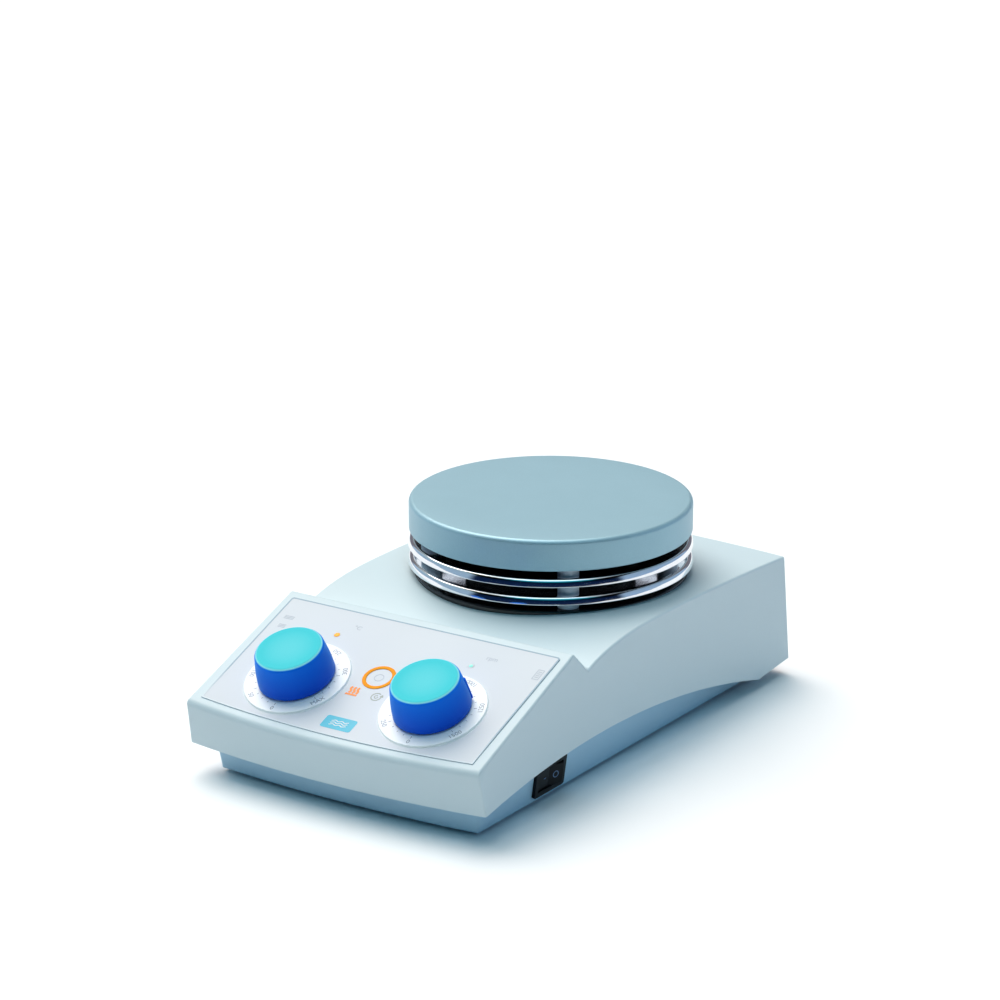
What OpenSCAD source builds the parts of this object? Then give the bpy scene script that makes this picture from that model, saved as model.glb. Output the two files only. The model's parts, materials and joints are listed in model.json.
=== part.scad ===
// Magnetic stirrer with a round heating plate.
// Millimetres, +Z up, the control panel faces -Y.
// The origin is on the surface it stands on, under the middle of the housing.

/* [Housing] */
// Overall depth at the middle of the housing
body_d = 280; // [270:1:300]
// Width across the lower side edges
body_w = 163; // [158:0.5:170]
// Inward lean of the side walls, degrees
side_lean = 2.9; // [1:0.1:5]
// Wall thickness of the housing
wall = 2.6; // [2:0.1:3.5]
// Height of the highest line of the deck
crest_z = 64.4; // [62:0.1:67]
// Radius of the arched lower side edge
arch_r = 527; // [480:1:600]
// Height of the crown of that arch
arch_top = 24; // [22:0.5:26]
// Height of the housing's lowest edge, near the back
heel_z = 5.8; // [5:0.1:8]

/* [Control panel] */
// Slope of the control panel, degrees
panel_angle = 21.3; // [18:0.1:24]
// Height of the panel's front corner line
panel_z = 36.4; // [34:0.1:39]
// Length of the panel up its slope
panel_len = 84.4; // [82:0.1:88]
// Distance of each knob from the middle
knob_x = 37.2; // [34:0.1:40]
// Distance of each knob up the slope
knob_s = 29.8; // [27:0.1:33]
// Radius of the knob at its foot
knob_r = 18; // [16:0.1:19]
// Radius of the knob at its crown
knob_top_r = 16.3; // [14:0.1:16.8]
// Height of the knob's crown above the panel
knob_h = 18; // [16:0.1:20]
// Radius of each white dial disc
dial_r = 25.2; // [23:0.1:26]
// Direction of the temperature pointer in the panel's plane, degrees
temperature_pointer = 120; // [60:1:200]
// Direction of the speed pointer in the panel's plane, degrees
speed_pointer = 40; // [20:1:200]

/* [Heating plate] */
// Diameter of the heating plate
plate_d = 135; // [130:1:145]
// Thickness of the heating plate
plate_t = 15; // [12:0.5:18]
// Height of the plate's working face
plate_z = 100; // [98:0.5:104]
// Distance of the plate's axis behind the middle
plate_y = 44.8; // [40:0.1:50]
// Distance of each post from the plate's axis, across
post_x = 38.3; // [37:0.1:39]
// Distance of each post from the plate's axis, along
post_y = 44.1; // [43:0.1:44.5]
// Height of a bright ring
ring_h = 4; // [3:0.1:5]

/* [Base] */
// Clear height under the base tray
foot_h = 1.8; // [1.5:0.1:3]
// Width of the base tray at its foot
tray_w = 142; // [136:1:144]
// Outward lean of the tray walls, degrees
tray_lean = 8; // [4:0.5:10]

/* [Mains parts] */
// Length of the power switch
switch_len = 24; // [21:0.5:28]
// Height of the power switch
switch_h = 15; // [13:0.5:15]
// Rocker tilt either side of level, degrees
rocker_tilt = 7; // [5:0.5:9]
// Sideways place of the mains inlet
inlet_x = 20; // [14:1:28]

/* [Hidden] */
$fn = 96;
eps = 0.01;
drum_fn = 360;

// Housing outline
panel_y = -body_d / 2 + 4.8;
peak_y = panel_y + panel_len * cos(panel_angle);
peak_z = panel_z + panel_len * sin(panel_angle);
valley_y = peak_y + 11;
valley_z = peak_z - 10.7;
crest_y = 29.8;
rear_y = 132;
front_drop = crest_z - valley_z;
rear_drop = 4.1;
front_power = 3.4;
rear_power = 1.5;
arch_y = -33.4;
heel_y = 103.8;
tail_rise = 0.08;
front_lean = 11;
rear_lean = 2.5;
front_r = 686;
rear_r = 554;
reach = 160;

// Stack of rings under the plate
plate_r = plate_d / 2;
plate_under = plate_z - plate_t;
ring_out_r = plate_r + 0.4;
upper_ring_top = plate_under - 3.7;
lower_ring_top = upper_ring_top - 8.6;
ring_sheet = 0.8;
ring_hem = 0.8;
base_top = 65;
base_floor = 59;
base_r = 65;
bore_r = 38;
shroud_r = 40.5;
stud_r = 2;
post_r = 5;
bracket_z = 48;
bracket_t = 2;

// Base tray
tray_t = 2.4;
tray_top = 25;
flange_t = 2;
flange_top = tray_top + 1.5;
tray_front = -125.8;
tray_rear = 128;
foot_x = 58;
foot_front = -104;
foot_rear = 106;
boss_x = 60;
boss_front = -84;
boss_rear = 84;

// Panel hardware
overlay_t = 0.4;
dial_t = 0.8;
knob_foot = overlay_t + dial_t + 0.5;
shaft_r = 3;
running_gap = 0.05;
panel_skin = wall * cos(panel_angle);
board_w = 108;
board_l = 58;
board_s = 38;
bush_r = 3.5;
board_drop = 14;
led_x = 37;
led_s = 62.2;
ring_s = 41.9;

// Power switch and mains inlet
switch_y = -68.5;
switch_z = 11.9;
inlet_z = 38;
inlet_seat = 134.9;
pad_y = inlet_seat - wall;
drawer_z = inlet_z - 9.9;
probe_x = -34;
probe_z = 38;
rod_x = -58;
rod_y = 119.8;
rod_top = 61.8;
rod_tap_r = 4.25;
rod_depth = 18;

// Motor
motor_r = 24;
motor_len = 26;
motor_top = bracket_z;
motor_shaft_r = 3;
motor_screw_r = 1.5;
motor_screw_ring = 15;
bush_out_r = 6;
carrier_z = 76;

function deck_z(y) = y < crest_y
    ? crest_z - front_drop * pow((crest_y - y) / (crest_y - valley_y), front_power)
    : crest_z - rear_drop * pow((y - crest_y) / (rear_y - crest_y), rear_power);

function arch_z(y) = arch_top - arch_r + sqrt(pow(arch_r, 2) - pow(y - arch_y, 2));

function panel_line(y) = panel_z + (y - panel_y) * tan(panel_angle);

function span(from, to, steps) = [for (i = [0 : steps]) from + (to - from) * i / steps];

// Top outline of the housing in the YZ plane, lowered by t
function top_line(t) = concat(
    [[-reach, panel_line(-reach) - t], [peak_y, peak_z - t]],
    [for (y = span(valley_y, crest_y, 10)) [y, deck_z(y) - t]],
    [for (y = span(crest_y + 9, reach, 10)) [y, deck_z(y) - t]]);

// Arched lower outline of the side walls, from back to front
function bottom_line() = concat(
    [[reach, heel_z + (reach - heel_y) * tail_rise]],
    [for (y = span(heel_y, -reach, 26)) [y, arch_z(y)]]);

module along_x(len) {
    rotate([90, 0, 90]) translate([0, 0, -len / 2]) linear_extrude(len) children();
}

module along_y(len) {
    translate([0, len / 2, 0]) rotate([90, 0, 0]) linear_extrude(len) children();
}

// Upright drum whose front generator leans by lean and passes through y, z
module front_drum(y, z, r, lean) {
    translate([0, y + r / cos(lean), z]) rotate([lean, 0, 0])
        cylinder(r = r, h = 2 * reach, center = true, $fn = drum_fn);
}

module rear_drum(y, z, r, lean) {
    translate([0, y - r / cos(lean), z]) rotate([lean, 0, 0])
        cylinder(r = r, h = 2 * reach, center = true, $fn = drum_fn);
}

// Solid between the sloping sides, inset by t
module side_wedge(foot_w, foot_z, lean, t) {
    foot = foot_w / 2 - t;
    drift = tan(lean);
    along_y(2 * reach)
        polygon([[-foot + foot_z * -drift, 0], [foot + foot_z * drift, 0],
                 [foot - (reach - foot_z) * drift, reach],
                 [-foot + (reach - foot_z) * drift, reach]]);
}

// The housing's outer form, inset by t, with or without the arched lower edge
module housing_form(t, arched) {
    intersection() {
        along_x(2 * reach)
            polygon(concat(top_line(t), arched ? bottom_line() : [[reach, -1], [-reach, -1]]));
        side_wedge(body_w, heel_z, side_lean, t);
        front_drum(-body_d / 2 + t, panel_z, front_r, front_lean);
        rear_drum(body_d / 2 - t, heel_z + 3, rear_r, rear_lean);
    }
}

// Places children in the panel's plane: x across, y up the slope, z out of it
module on_panel(x = 0, s = 0, h = 0) {
    translate([0, panel_y, panel_z]) rotate([panel_angle, 0, 0]) translate([x, s, h]) children();
}

module at_plate(z = 0) {
    translate([0, plate_y, z]) children();
}

module at_posts(z = 0) {
    at_plate(z) for (x = [-post_x, post_x], y = [-post_y, post_y]) translate([x, y, 0]) children();
}

module at_motor_screws(z = 0) {
    at_plate(z) for (a = [45 : 90 : 315]) rotate(a) translate([motor_screw_ring, 0, 0]) children();
}

module at_bosses(z = 0) {
    for (x = [-boss_x, boss_x], y = [boss_front, boss_rear]) translate([x, y, z]) children();
}

module tube(r_out, r_in, h) {
    difference() {
        cylinder(r = r_out, h = h);
        translate([0, 0, -1]) cylinder(r = r_in, h = h + 2);
    }
}

module slab(x, y, z) {
    translate([-x / 2, -y / 2, 0]) cube([x, y, z]);
}

// Rounded rectangle of square corners and corner circles
module rounded_plate(x, y, r, h) {
    linear_extrude(h) {
        square([x, y - 2 * r], center = true);
        square([x - 2 * r, y], center = true);
        for (sx = [-1, 1], sy = [-1, 1])
            translate([sx * (x / 2 - r), sy * (y / 2 - r)]) circle(r);
    }
}

module upper_housing() {
    color("gainsboro") difference() {
        union() {
            difference() {
                housing_form(0, true);
                housing_form(wall, false);
            }
            intersection() {
                housing_form(0, true);
                union() {
                    at_plate(base_floor - wall) cylinder(r = base_r + wall, h = 12);
                    at_bosses(flange_top) cylinder(r = 5, h = 60);
                    translate([rod_x, rod_y, 34]) cylinder(r = 11, h = 60);
                    translate([-52, pad_y, 14]) cube([104, 20, 60]);
                }
            }
        }
        at_plate(base_floor) cylinder(r = base_r + 0.2, h = 30);
        at_plate(0) cylinder(r = bore_r, h = 90);
        at_posts(40) cylinder(r = stud_r + 0.3, h = 40);
        at_plate(30) cylinder(r = base_r + wall - 4, h = base_floor - wall - 30);
        translate([rod_x, rod_y, 30]) cylinder(r = 7.5, h = 60);
        at_bosses(0) cylinder(r = 1.6, h = 44);
        for (side = [-1, 1]) {
            on_panel(side * knob_x, knob_s, -10) cylinder(r = bush_r + 0.1, h = 20);
            on_panel(side * led_x, led_s, -10) cylinder(r = 1.6, h = 20);
        }
        translate([inlet_x - 25.2, inlet_seat, inlet_z - 16.2]) cube([50.4, 20, 32.4]);
        translate([inlet_x - 14.4, inlet_seat - 10, inlet_z - 14.9]) cube([28.8, 20, 29.8]);
        for (side = [-1, 1])
            translate([inlet_x + side * 20, inlet_seat - 10, inlet_z]) rotate([-90, 0, 0])
                cylinder(r = 1.5, h = 20);
        translate([probe_x, 0, probe_z]) rotate([-90, 0, 0]) cylinder(r = 8.1, h = 200);
        translate([probe_x, inlet_seat, probe_z]) rotate([-90, 0, 0]) cylinder(r = 11, h = 20);
    }
}

module tray_form(t) {
    intersection() {
        side_wedge(tray_w, foot_h, -tray_lean, t);
        front_drum(tray_front + t, foot_h, front_r, tray_lean);
        rear_drum(tray_rear - t, foot_h, rear_r, -tray_lean);
    }
}

module base_tray() {
    color("lightslategray") difference() {
        union() {
            intersection() {
                tray_form(0);
                translate([-reach, -reach, foot_h]) cube([2 * reach, 2 * reach, tray_top - foot_h]);
            }
            intersection() {
                housing_form(wall + 0.3, false);
                translate([-reach, -reach, flange_top - flange_t])
                    cube([2 * reach, 2 * reach, flange_t]);
            }
        }
        difference() {
            intersection() {
                tray_form(tray_t);
                translate([-reach, -reach, foot_h + tray_t]) cube([2 * reach, 2 * reach, 60]);
            }
            at_bosses(0) cylinder(r = 5, h = 60);
        }
        at_bosses(-1) cylinder(r = 1.9, h = 60);
        at_bosses(-1) cylinder(r = 4, h = foot_h + 4.4);
        for (x = [-foot_x, foot_x], y = [foot_front, foot_rear])
            translate([x, y, -1]) cylinder(r = 3, h = 20);
        for (i = [-5 : 5]) translate([i * 8, plate_y, -1]) slab(3, 46, 20);
        switch_place() translate([-6.4, -10.6, -14]) cube([12.8, 21.2, 30]);
        translate([-53, pad_y - 0.3, 0]) cube([106, 40, 60]);
        translate([inlet_x - 15, 110, inlet_z - 15.3]) cube([30, 40, 60]);
    }
}

module rubber_feet() {
    color("#202224") for (x = [-foot_x, foot_x], y = [foot_front, foot_rear]) translate([x, y, 0]) {
        cylinder(r1 = 7.2, r2 = 8, h = foot_h);
        cylinder(r = 2.9, h = foot_h + tray_t);
        translate([0, 0, foot_h + tray_t]) cylinder(r = 3.6, h = 1.2);
    }
}

module housing_screws() {
    color("silver") at_bosses(foot_h + 1.6) difference() {
        union() {
            cylinder(r = 3.4, h = 1.8);
            cylinder(r = 1.55, h = 34);
        }
        translate([0, 0, -1]) cylinder(r = 1.4, h = 2, $fn = 6);
    }
}

module overlay_outline(inset) {
    w = 148.4 - 2 * inset;
    low = 4.4 + inset;
    high = 79.8 - inset;
    r = 3.2 - inset;
    intersection() {
        union() {
            translate([-w / 2 + r, low - 4]) square([w - 2 * r, high - low + 4]);
            translate([-w / 2, low - 4]) square([w, high - low + 4 - r]);
            for (side = [-1, 1]) translate([side * (w / 2 - r), high - r]) circle(r);
        }
        translate([0, low - 4 + front_r]) circle(front_r, $fn = drum_fn);
    }
}

module front_overlay() {
    color("whitesmoke") on_panel() difference() {
        linear_extrude(overlay_t) overlay_outline(0);
        for (side = [-1, 1]) {
            translate([side * knob_x, knob_s, -1]) cylinder(r = 7, h = 3);
            translate([side * led_x, led_s, -1]) cylinder(r = 1.6, h = 3);
        }
        translate([0, ring_s, -1]) tube(7.9, 6.2, 3);
    }
}

module dial(x) {
    color("white") on_panel(x, knob_s, overlay_t) rotate_extrude()
        polygon([[7, 0], [dial_r, 0], [dial_r - 0.5, dial_t], [7, dial_t]]);
}

module temperature_dial() {
    dial(-knob_x);
}

module speed_dial() {
    dial(knob_x);
}

module hot_surface_ring() {
    color("orange") on_panel(0, ring_s, 0) tube(7.9, 6.2, overlay_t + 0.3);
}

module led(x, tint) {
    color(tint) on_panel(x, led_s, 0) {
        translate([0, 0, -8]) cylinder(r = 1.5, h = 8.6);
        translate([0, 0, 0.6]) intersection() {
            sphere(r = 1.5, $fn = 48);
            cylinder(r = 3, h = 3);
        }
        translate([0, 0, -9.2]) cylinder(r = 1.5, h = 1.2);
    }
}

module temperature_led() {
    led(-led_x, "orange");
}

module speed_led() {
    led(led_x, "lightgreen");
}

// Skirted knob with a hub for the shaft and one pointer rib on its flank
module knob(x, pointer) {
    crown = 2.2;
    shell = 2.2;
    lean = atan((knob_r - knob_top_r) / (knob_h - knob_foot));
    color("royalblue") on_panel(x, knob_s, 0) {
        difference() {
            union() {
                rotate_extrude() difference() {
                    union() {
                        polygon([[0, knob_foot], [knob_r, knob_foot], [knob_top_r, knob_h - crown],
                                 [knob_top_r - crown, knob_h], [0, knob_h]]);
                        translate([knob_top_r - crown, knob_h - crown]) circle(crown);
                    }
                    translate([-50, 0]) square([50, 40]);
                    polygon([[6, 0], [knob_r - shell, 0], [knob_top_r - shell, knob_h - 4.4],
                             [6, knob_h - 3.4]]);
                }
                rotate(pointer) translate([knob_r - 1.4, 0, knob_foot]) rotate([0, -lean, 0])
                    translate([0, -1.3, 0]) cube([2.4, 2.6, knob_h - knob_foot - crown]);
            }
            translate([0, 0, -1]) cylinder(r = shaft_r, h = 14);
            translate([0, 0, -1]) cylinder(r = 6.4, h = 5);
        }
    }
}

module temperature_knob() {
    knob(-knob_x, temperature_pointer);
}

module speed_knob() {
    knob(knob_x, speed_pointer);
}

// Shaft with the wiper disc that turns inside the potentiometer
module knob_shaft(x) {
    color("silver") on_panel(x, knob_s, 0) {
        translate([0, 0, -11]) cylinder(r = shaft_r, h = 24);
        translate([0, 0, -9.4]) cylinder(r = 5.5, h = 1.4);
    }
}

module temperature_shaft() {
    knob_shaft(-knob_x);
}

module speed_shaft() {
    knob_shaft(knob_x);
}

module potentiometer(x) {
    color("darkslategray") on_panel(x, knob_s, 0) difference() {
        union() {
            translate([0, 0, 1.6 - board_drop]) cylinder(r = 8.2, h = board_drop - 1.6 - panel_skin);
            translate([0, 0, -panel_skin]) cylinder(r = bush_r, h = panel_skin + 3);
        }
        translate([0, 0, -9.9]) cylinder(r = 6.2, h = 2.4);
        translate([0, 0, -11.3]) cylinder(r = shaft_r + running_gap, h = 30);
    }
}

module temperature_potentiometer() {
    potentiometer(-knob_x);
}

module speed_potentiometer() {
    potentiometer(knob_x);
}

module potentiometer_nuts() {
    color("silver") for (side = [-1, 1]) on_panel(side * knob_x, knob_s, 0) difference() {
        cylinder(r = 5.8, h = 2.2, $fn = 6);
        translate([0, 0, -1]) cylinder(r = bush_r, h = 5);
    }
}

module control_board() {
    color("darkgreen") on_panel(0, board_s, -board_drop) difference() {
        slab(board_w, board_l, 1.6);
        for (x = [-50, 50], y = [-25, 25]) translate([x, y, -1]) cylinder(r = 1.6, h = 4);
    }
}

module control_components() {
    color("dimgray") on_panel(0, board_s, 1.6 - board_drop) {
        translate([-4, 4, 0]) slab(14, 14, 1.6);
        translate([-4, -20, 0]) slab(22, 8, 4);
        translate([12, 20, 0]) slab(10, 6, 2);
        translate([16, -6, 0]) cylinder(r = 3, h = 6);
        translate([-16, 16, 0]) cylinder(r = 3, h = 6);
    }
}

module board_standoffs() {
    color("goldenrod") for (x = [-50, 50], y = [-25, 25])
        on_panel(x, board_s + y, 1.6 - board_drop)
            cylinder(r = 3, h = board_drop - 1.6 - panel_skin, $fn = 6);
}

module heating_plate() {
    edge = 2;
    foot = 0.8;
    color("lightsteelblue") difference() {
        at_plate() rotate_extrude() {
            polygon([[0, plate_under], [plate_r - foot, plate_under], [plate_r, plate_under + foot],
                     [plate_r, plate_z - edge], [plate_r - edge, plate_z - edge],
                     [plate_r - edge, plate_z], [0, plate_z]]);
            intersection() {
                translate([plate_r - edge, plate_z - edge]) circle(edge);
                square([2 * plate_r, 2 * plate_z]);
            }
        }
        at_plate(plate_under - 1) cylinder(r = 42, h = 8);
        at_posts(plate_under - 1) cylinder(r = stud_r, h = 8);
    }
}

module heating_element() {
    color("darkorange") at_plate(plate_under + 3) tube(40, 16, 4);
}

module insulation_disc() {
    color("ivory") at_plate(plate_under) tube(41.8, 6, 3);
}

module plate_sensor() {
    color("gold") at_plate(plate_under + 3) cylinder(r = 3, h = 4);
}

module plate_studs() {
    color("silver") at_posts(bracket_z - 5) cylinder(r = stud_r, h = plate_under + 6 - bracket_z + 5);
}

module stud_nuts() {
    color("silver") at_posts(bracket_z - 3.2) difference() {
        cylinder(r = 4, h = 3.2, $fn = 6);
        translate([0, 0, -1]) cylinder(r = stud_r, h = 6);
    }
}

module spacers(low, high) {
    color("gainsboro") at_posts(low) tube(post_r, stud_r, high - low);
}

module upper_spacers() {
    spacers(upper_ring_top, plate_under);
}

module middle_spacers() {
    spacers(lower_ring_top, upper_ring_top - ring_sheet);
}

module lower_spacers() {
    spacers(base_top, lower_ring_top - ring_sheet);
}

// Polished ring: a thin disc with a deep rim turned down round its edge
module heat_shield(top) {
    color("white") difference() {
        at_plate(top) rotate_extrude() {
            for (z = [-ring_hem, ring_hem - ring_h]) translate([ring_out_r - ring_hem, z]) circle(ring_hem);
            translate([ring_out_r - 2 * ring_hem, ring_hem - ring_h])
                square([2 * ring_hem, ring_h - 2 * ring_hem]);
            translate([shroud_r + 0.3, -ring_sheet])
                square([ring_out_r - ring_hem - shroud_r - 0.3, ring_sheet]);
        }
        at_posts(top - 2) cylinder(r = stud_r, h = 4);
    }
}

module upper_heat_shield() {
    heat_shield(upper_ring_top);
}

module lower_heat_shield() {
    heat_shield(lower_ring_top);
}

module stack_base() {
    edge = 0.8;
    color("#16181a") difference() {
        at_plate() rotate_extrude()
            polygon([[bore_r, base_floor], [base_r, base_floor], [base_r, base_top - edge],
                     [base_r - edge, base_top], [bore_r, base_top]]);
        at_posts(base_floor - 1) cylinder(r = stud_r, h = 9);
    }
}

module magnet_shroud() {
    color("#16181a") at_plate() rotate_extrude()
        polygon([[shroud_r - 1.5, base_top], [shroud_r, base_top], [shroud_r, plate_under - 0.6],
                 [0, plate_under - 0.6], [0, plate_under - 1.8], [shroud_r - 1.5, plate_under - 1.8]]);
}

module motor_can() {
    color("slategray") difference() {
        at_plate(motor_top - motor_len) cylinder(r = motor_r, h = motor_len);
        at_plate(motor_top - motor_len - 1) cylinder(r = motor_r - 2, h = motor_len - 1);
        at_plate(motor_top - motor_len - 1) cylinder(r = bush_out_r, h = motor_len + 2);
        at_motor_screws(motor_top - 4) cylinder(r = motor_screw_r, h = 9);
    }
}

module motor_cover() {
    color("slategray") at_plate(motor_top - motor_len - 2) tube(motor_r, bush_out_r, 2);
}

module motor_stator() {
    color("peru") at_plate(motor_top - motor_len + 4) difference() {
        cylinder(r = motor_r - 2, h = 14);
        translate([0, 0, -1]) cylinder(r = 13.5, h = 20);
        for (a = [0 : 60 : 300]) rotate(a) translate([17.4, 0, -1]) cylinder(r = 2.4, h = 20);
    }
}

module motor_bushes() {
    color("goldenrod") for (z = [motor_top - motor_len - 2, motor_top - 2])
        at_plate(z) tube(bush_out_r, motor_shaft_r + running_gap, 2);
}

module motor_bracket() {
    color("silver") difference() {
        at_plate(bracket_z) slab(2 * post_x + 14, 2 * post_y + 14, bracket_t);
        at_plate(bracket_z - 1) cylinder(r = 8, h = 5);
        at_posts(bracket_z - 1) cylinder(r = stud_r, h = 5);
        at_motor_screws(bracket_z - 1) cylinder(r = motor_screw_r, h = 5);
    }
}

module bracket_spacers() {
    color("gainsboro") at_posts(bracket_z + bracket_t)
        tube(post_r, stud_r, base_floor - wall - bracket_z - bracket_t);
}

module motor_screws() {
    color("dimgray") at_motor_screws(bracket_z - 4) {
        cylinder(r = motor_screw_r, h = 6);
        translate([0, 0, 6]) cylinder(r = 2.7, h = 1.8);
    }
}

module motor_shaft() {
    color("silver") at_plate(motor_top - motor_len - 2) cylinder(r = motor_shaft_r, h = 54);
}

module motor_rotor() {
    color("brown") at_plate(motor_top - motor_len + 4) tube(13, motor_shaft_r, 14);
}

module magnet_carrier() {
    color("gray") at_plate(carrier_z - 6) difference() {
        union() {
            slab(64, 18, 3);
            cylinder(r = 7, h = 6);
            for (side = [-1, 1]) translate([side * 23, 0, 0]) cylinder(r = 10, h = 6);
        }
        translate([0, 0, -1]) cylinder(r = motor_shaft_r, h = 8);
        for (side = [-1, 1]) translate([side * 23, 0, 2]) cylinder(r = 8, h = 6);
    }
}

module drive_magnets() {
    color("silver") for (side = [-1, 1]) at_plate(carrier_z - 4) translate([side * 23, 0, 0])
        cylinder(r = 8, h = 8);
}

// Places children on the tray's right wall: x down the wall, y to the back, z outwards
module switch_place() {
    wall_x = tray_w / 2 + (switch_z - foot_h) * tan(tray_lean);
    translate([wall_x, switch_y, switch_z]) rotate([0, 90 + tray_lean, 0]) children();
}

module switch_frame() {
    color("#101214") switch_place() difference() {
        union() {
            rounded_plate(switch_h, switch_len, 1, 1.6);
            translate([0, 0, -12]) slab(12.4, 20.8, 12 + eps);
        }
        translate([0, 0, -9]) slab(10.4, 18.8, 20);
        translate([-20, 0, -2.5]) rotate([0, 90, 0]) cylinder(r = 1.25, h = 40);
    }
}

// Rocker with a shallow V face, tilted to its pressed side
module switch_rocker() {
    half = 9;
    color("#181a1c") switch_place() translate([0, 0, -2.5]) rotate([rocker_tilt, 0, 0]) {
        translate([-4.9, 0, 0]) rotate([90, 0, 90]) linear_extrude(9.8)
            polygon([[-half, 0.4], [-half + 0.6, 4.4], [0, 3.2], [half - 0.6, 4.4], [half, 0.4],
                     [3, -3.2], [-3, -3.2]]);
        translate([-6, 0, 0]) rotate([0, 90, 0]) cylinder(r = 1.2, h = 12);
    }
}

module inlet_housing() {
    color("#141618") translate([inlet_x, inlet_seat, inlet_z]) difference() {
        union() {
            translate([0, 1.5, 0]) rotate([90, 0, 0]) rounded_plate(50, 32, 3, 1.5);
            translate([-14.2, -20, -14.7]) cube([28.4, 20 + eps, 29.4]);
        }
        translate([-12, -14, -4.3]) cube([24, 30, 16.4]);
        translate([-11.8, -16, drawer_z - inlet_z - 4.1]) cube([23.6, 30, 8.2]);
        for (side = [-1, 1]) translate([side * 20, -5, 0]) rotate([-90, 0, 0]) cylinder(r = 1.5, h = 20);
    }
}

module inlet_pins() {
    pin_len = 8.5;
    color("silver") translate([inlet_x, inlet_seat - 14, inlet_z + 4]) {
        for (side = [-1, 1]) translate([side * 7 - 1, 0, -2]) cube([2, pin_len, 4]);
        translate([-1, 0, 1.6]) cube([2, pin_len, 4]);
    }
}

module inlet_screws() {
    color("silver") for (side = [-1, 1]) translate([inlet_x + side * 20, inlet_seat, inlet_z])
        rotate([-90, 0, 0]) {
            translate([0, 0, -5]) cylinder(r = 1.5, h = 6.5);
            translate([0, 0, 1.5]) intersection() {
                cylinder(r = 2.8, h = 1.4);
                translate([0, 0, -1.4]) sphere(r = 3.1, $fn = 48);
            }
        }
}

// Drawer with a finger lip and a cradle for one fuse
module fuse_drawer() {
    color("#1c1e20") translate([inlet_x, inlet_seat, drawer_z]) difference() {
        union() {
            translate([-11.5, -15, -3.8]) cube([23, 16.2, 7.6]);
            translate([-7, 1.2, -3.2]) cube([14, 1, 1.6]);
        }
        translate([-10.3, -10, -2.6]) cube([20.6, 6, 10]);
    }
}

module fuse() {
    color("linen") translate([inlet_x, inlet_seat - 7, drawer_z]) rotate([0, 90, 0])
        cylinder(r = 2.6, h = 20, center = true);
}

module probe_socket() {
    color("silver") translate([probe_x, inlet_seat, probe_z]) rotate([-90, 0, 0]) difference() {
        union() {
            cylinder(r = 10.6, h = 1.6);
            translate([0, 0, -13]) cylinder(r = 8, h = 13);
        }
        translate([0, 0, -6.4]) cylinder(r = 6.7, h = 12);
        for (a = [0 : 45 : 180]) rotate(a) translate([3.4, 0, -10]) cylinder(r = 0.7, h = 5);
    }
}

module probe_socket_nut() {
    color("silver") translate([probe_x, pad_y, probe_z]) rotate([90, 0, 0]) difference() {
        cylinder(r = 10.5, h = 2.4, $fn = 6);
        translate([0, 0, -1]) cylinder(r = 8, h = 5);
    }
}

module rod_socket() {
    color("goldenrod") translate([rod_x, rod_y, 0]) difference() {
        union() {
            translate([0, 0, 36]) cylinder(r = 7.5, h = rod_top - 36);
            translate([0, 0, 31]) cylinder(r = 10, h = 3, $fn = 6);
            translate([0, 0, 31]) cylinder(r = 7.5, h = 8);
        }
        translate([0, 0, rod_top - rod_depth]) cylinder(r = rod_tap_r, h = 40);
    }
}

module power_board() {
    color("darkgreen") translate([0, 100, 12]) difference() {
        slab(96, 46, 1.6);
        for (x = [-44, 44], y = [-19, 19]) translate([x, y, -1]) cylinder(r = 1.6, h = 4);
    }
}

module power_standoffs() {
    color("gainsboro") for (x = [-44, 44], y = [81, 119])
        translate([x, y, foot_h + tray_t]) cylinder(r = 3.2, h = 12 - foot_h - tray_t, $fn = 6);
}

module transformer() {
    color("sienna") translate([-26, 98, 13.6]) {
        slab(32, 26, 26);
        translate([0, 0, 4]) slab(26, 38, 18);
    }
}

module heat_sink() {
    color("lightgray") translate([14, 86, 13.6]) {
        slab(30, 12, 3);
        for (i = [-3 : 3]) translate([i * 4.6, 0, 0]) slab(1.6, 12, 20);
    }
}

module capacitors() {
    color("midnightblue") for (i = [0, 1]) translate([6 + 16 * i, 103, 13.6]) cylinder(r = 6, h = 20);
}

upper_housing();
base_tray();
rubber_feet();
housing_screws();
front_overlay();
temperature_dial();
speed_dial();
hot_surface_ring();
temperature_led();
speed_led();
temperature_knob();
temperature_shaft();
temperature_potentiometer();
speed_knob();
speed_shaft();
speed_potentiometer();
potentiometer_nuts();
control_board();
control_components();
board_standoffs();
heating_plate();
heating_element();
insulation_disc();
plate_sensor();
plate_studs();
stud_nuts();
upper_spacers();
middle_spacers();
lower_spacers();
upper_heat_shield();
lower_heat_shield();
stack_base();
magnet_shroud();
motor_can();
motor_cover();
motor_stator();
motor_bushes();
motor_bracket();
bracket_spacers();
motor_screws();
motor_shaft();
motor_rotor();
magnet_carrier();
drive_magnets();
switch_frame();
switch_rocker();
inlet_housing();
inlet_pins();
inlet_screws();
fuse_drawer();
fuse();
probe_socket();
probe_socket_nut();
rod_socket();
power_board();
power_standoffs();
transformer();
heat_sink();
capacitors();
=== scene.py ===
import json
import math

import bmesh
import bpy
from mathutils import Matrix, Vector


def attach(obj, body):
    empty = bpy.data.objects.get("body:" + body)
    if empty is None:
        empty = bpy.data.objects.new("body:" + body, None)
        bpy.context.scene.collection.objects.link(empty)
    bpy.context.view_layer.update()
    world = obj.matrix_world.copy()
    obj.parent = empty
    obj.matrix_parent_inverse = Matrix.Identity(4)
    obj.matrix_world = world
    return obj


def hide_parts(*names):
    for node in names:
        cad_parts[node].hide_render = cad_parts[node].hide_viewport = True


# Lengths below are in millimetres, as in the CAD source; MM turns them into Blender's metres.
MM = 0.001

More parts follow.
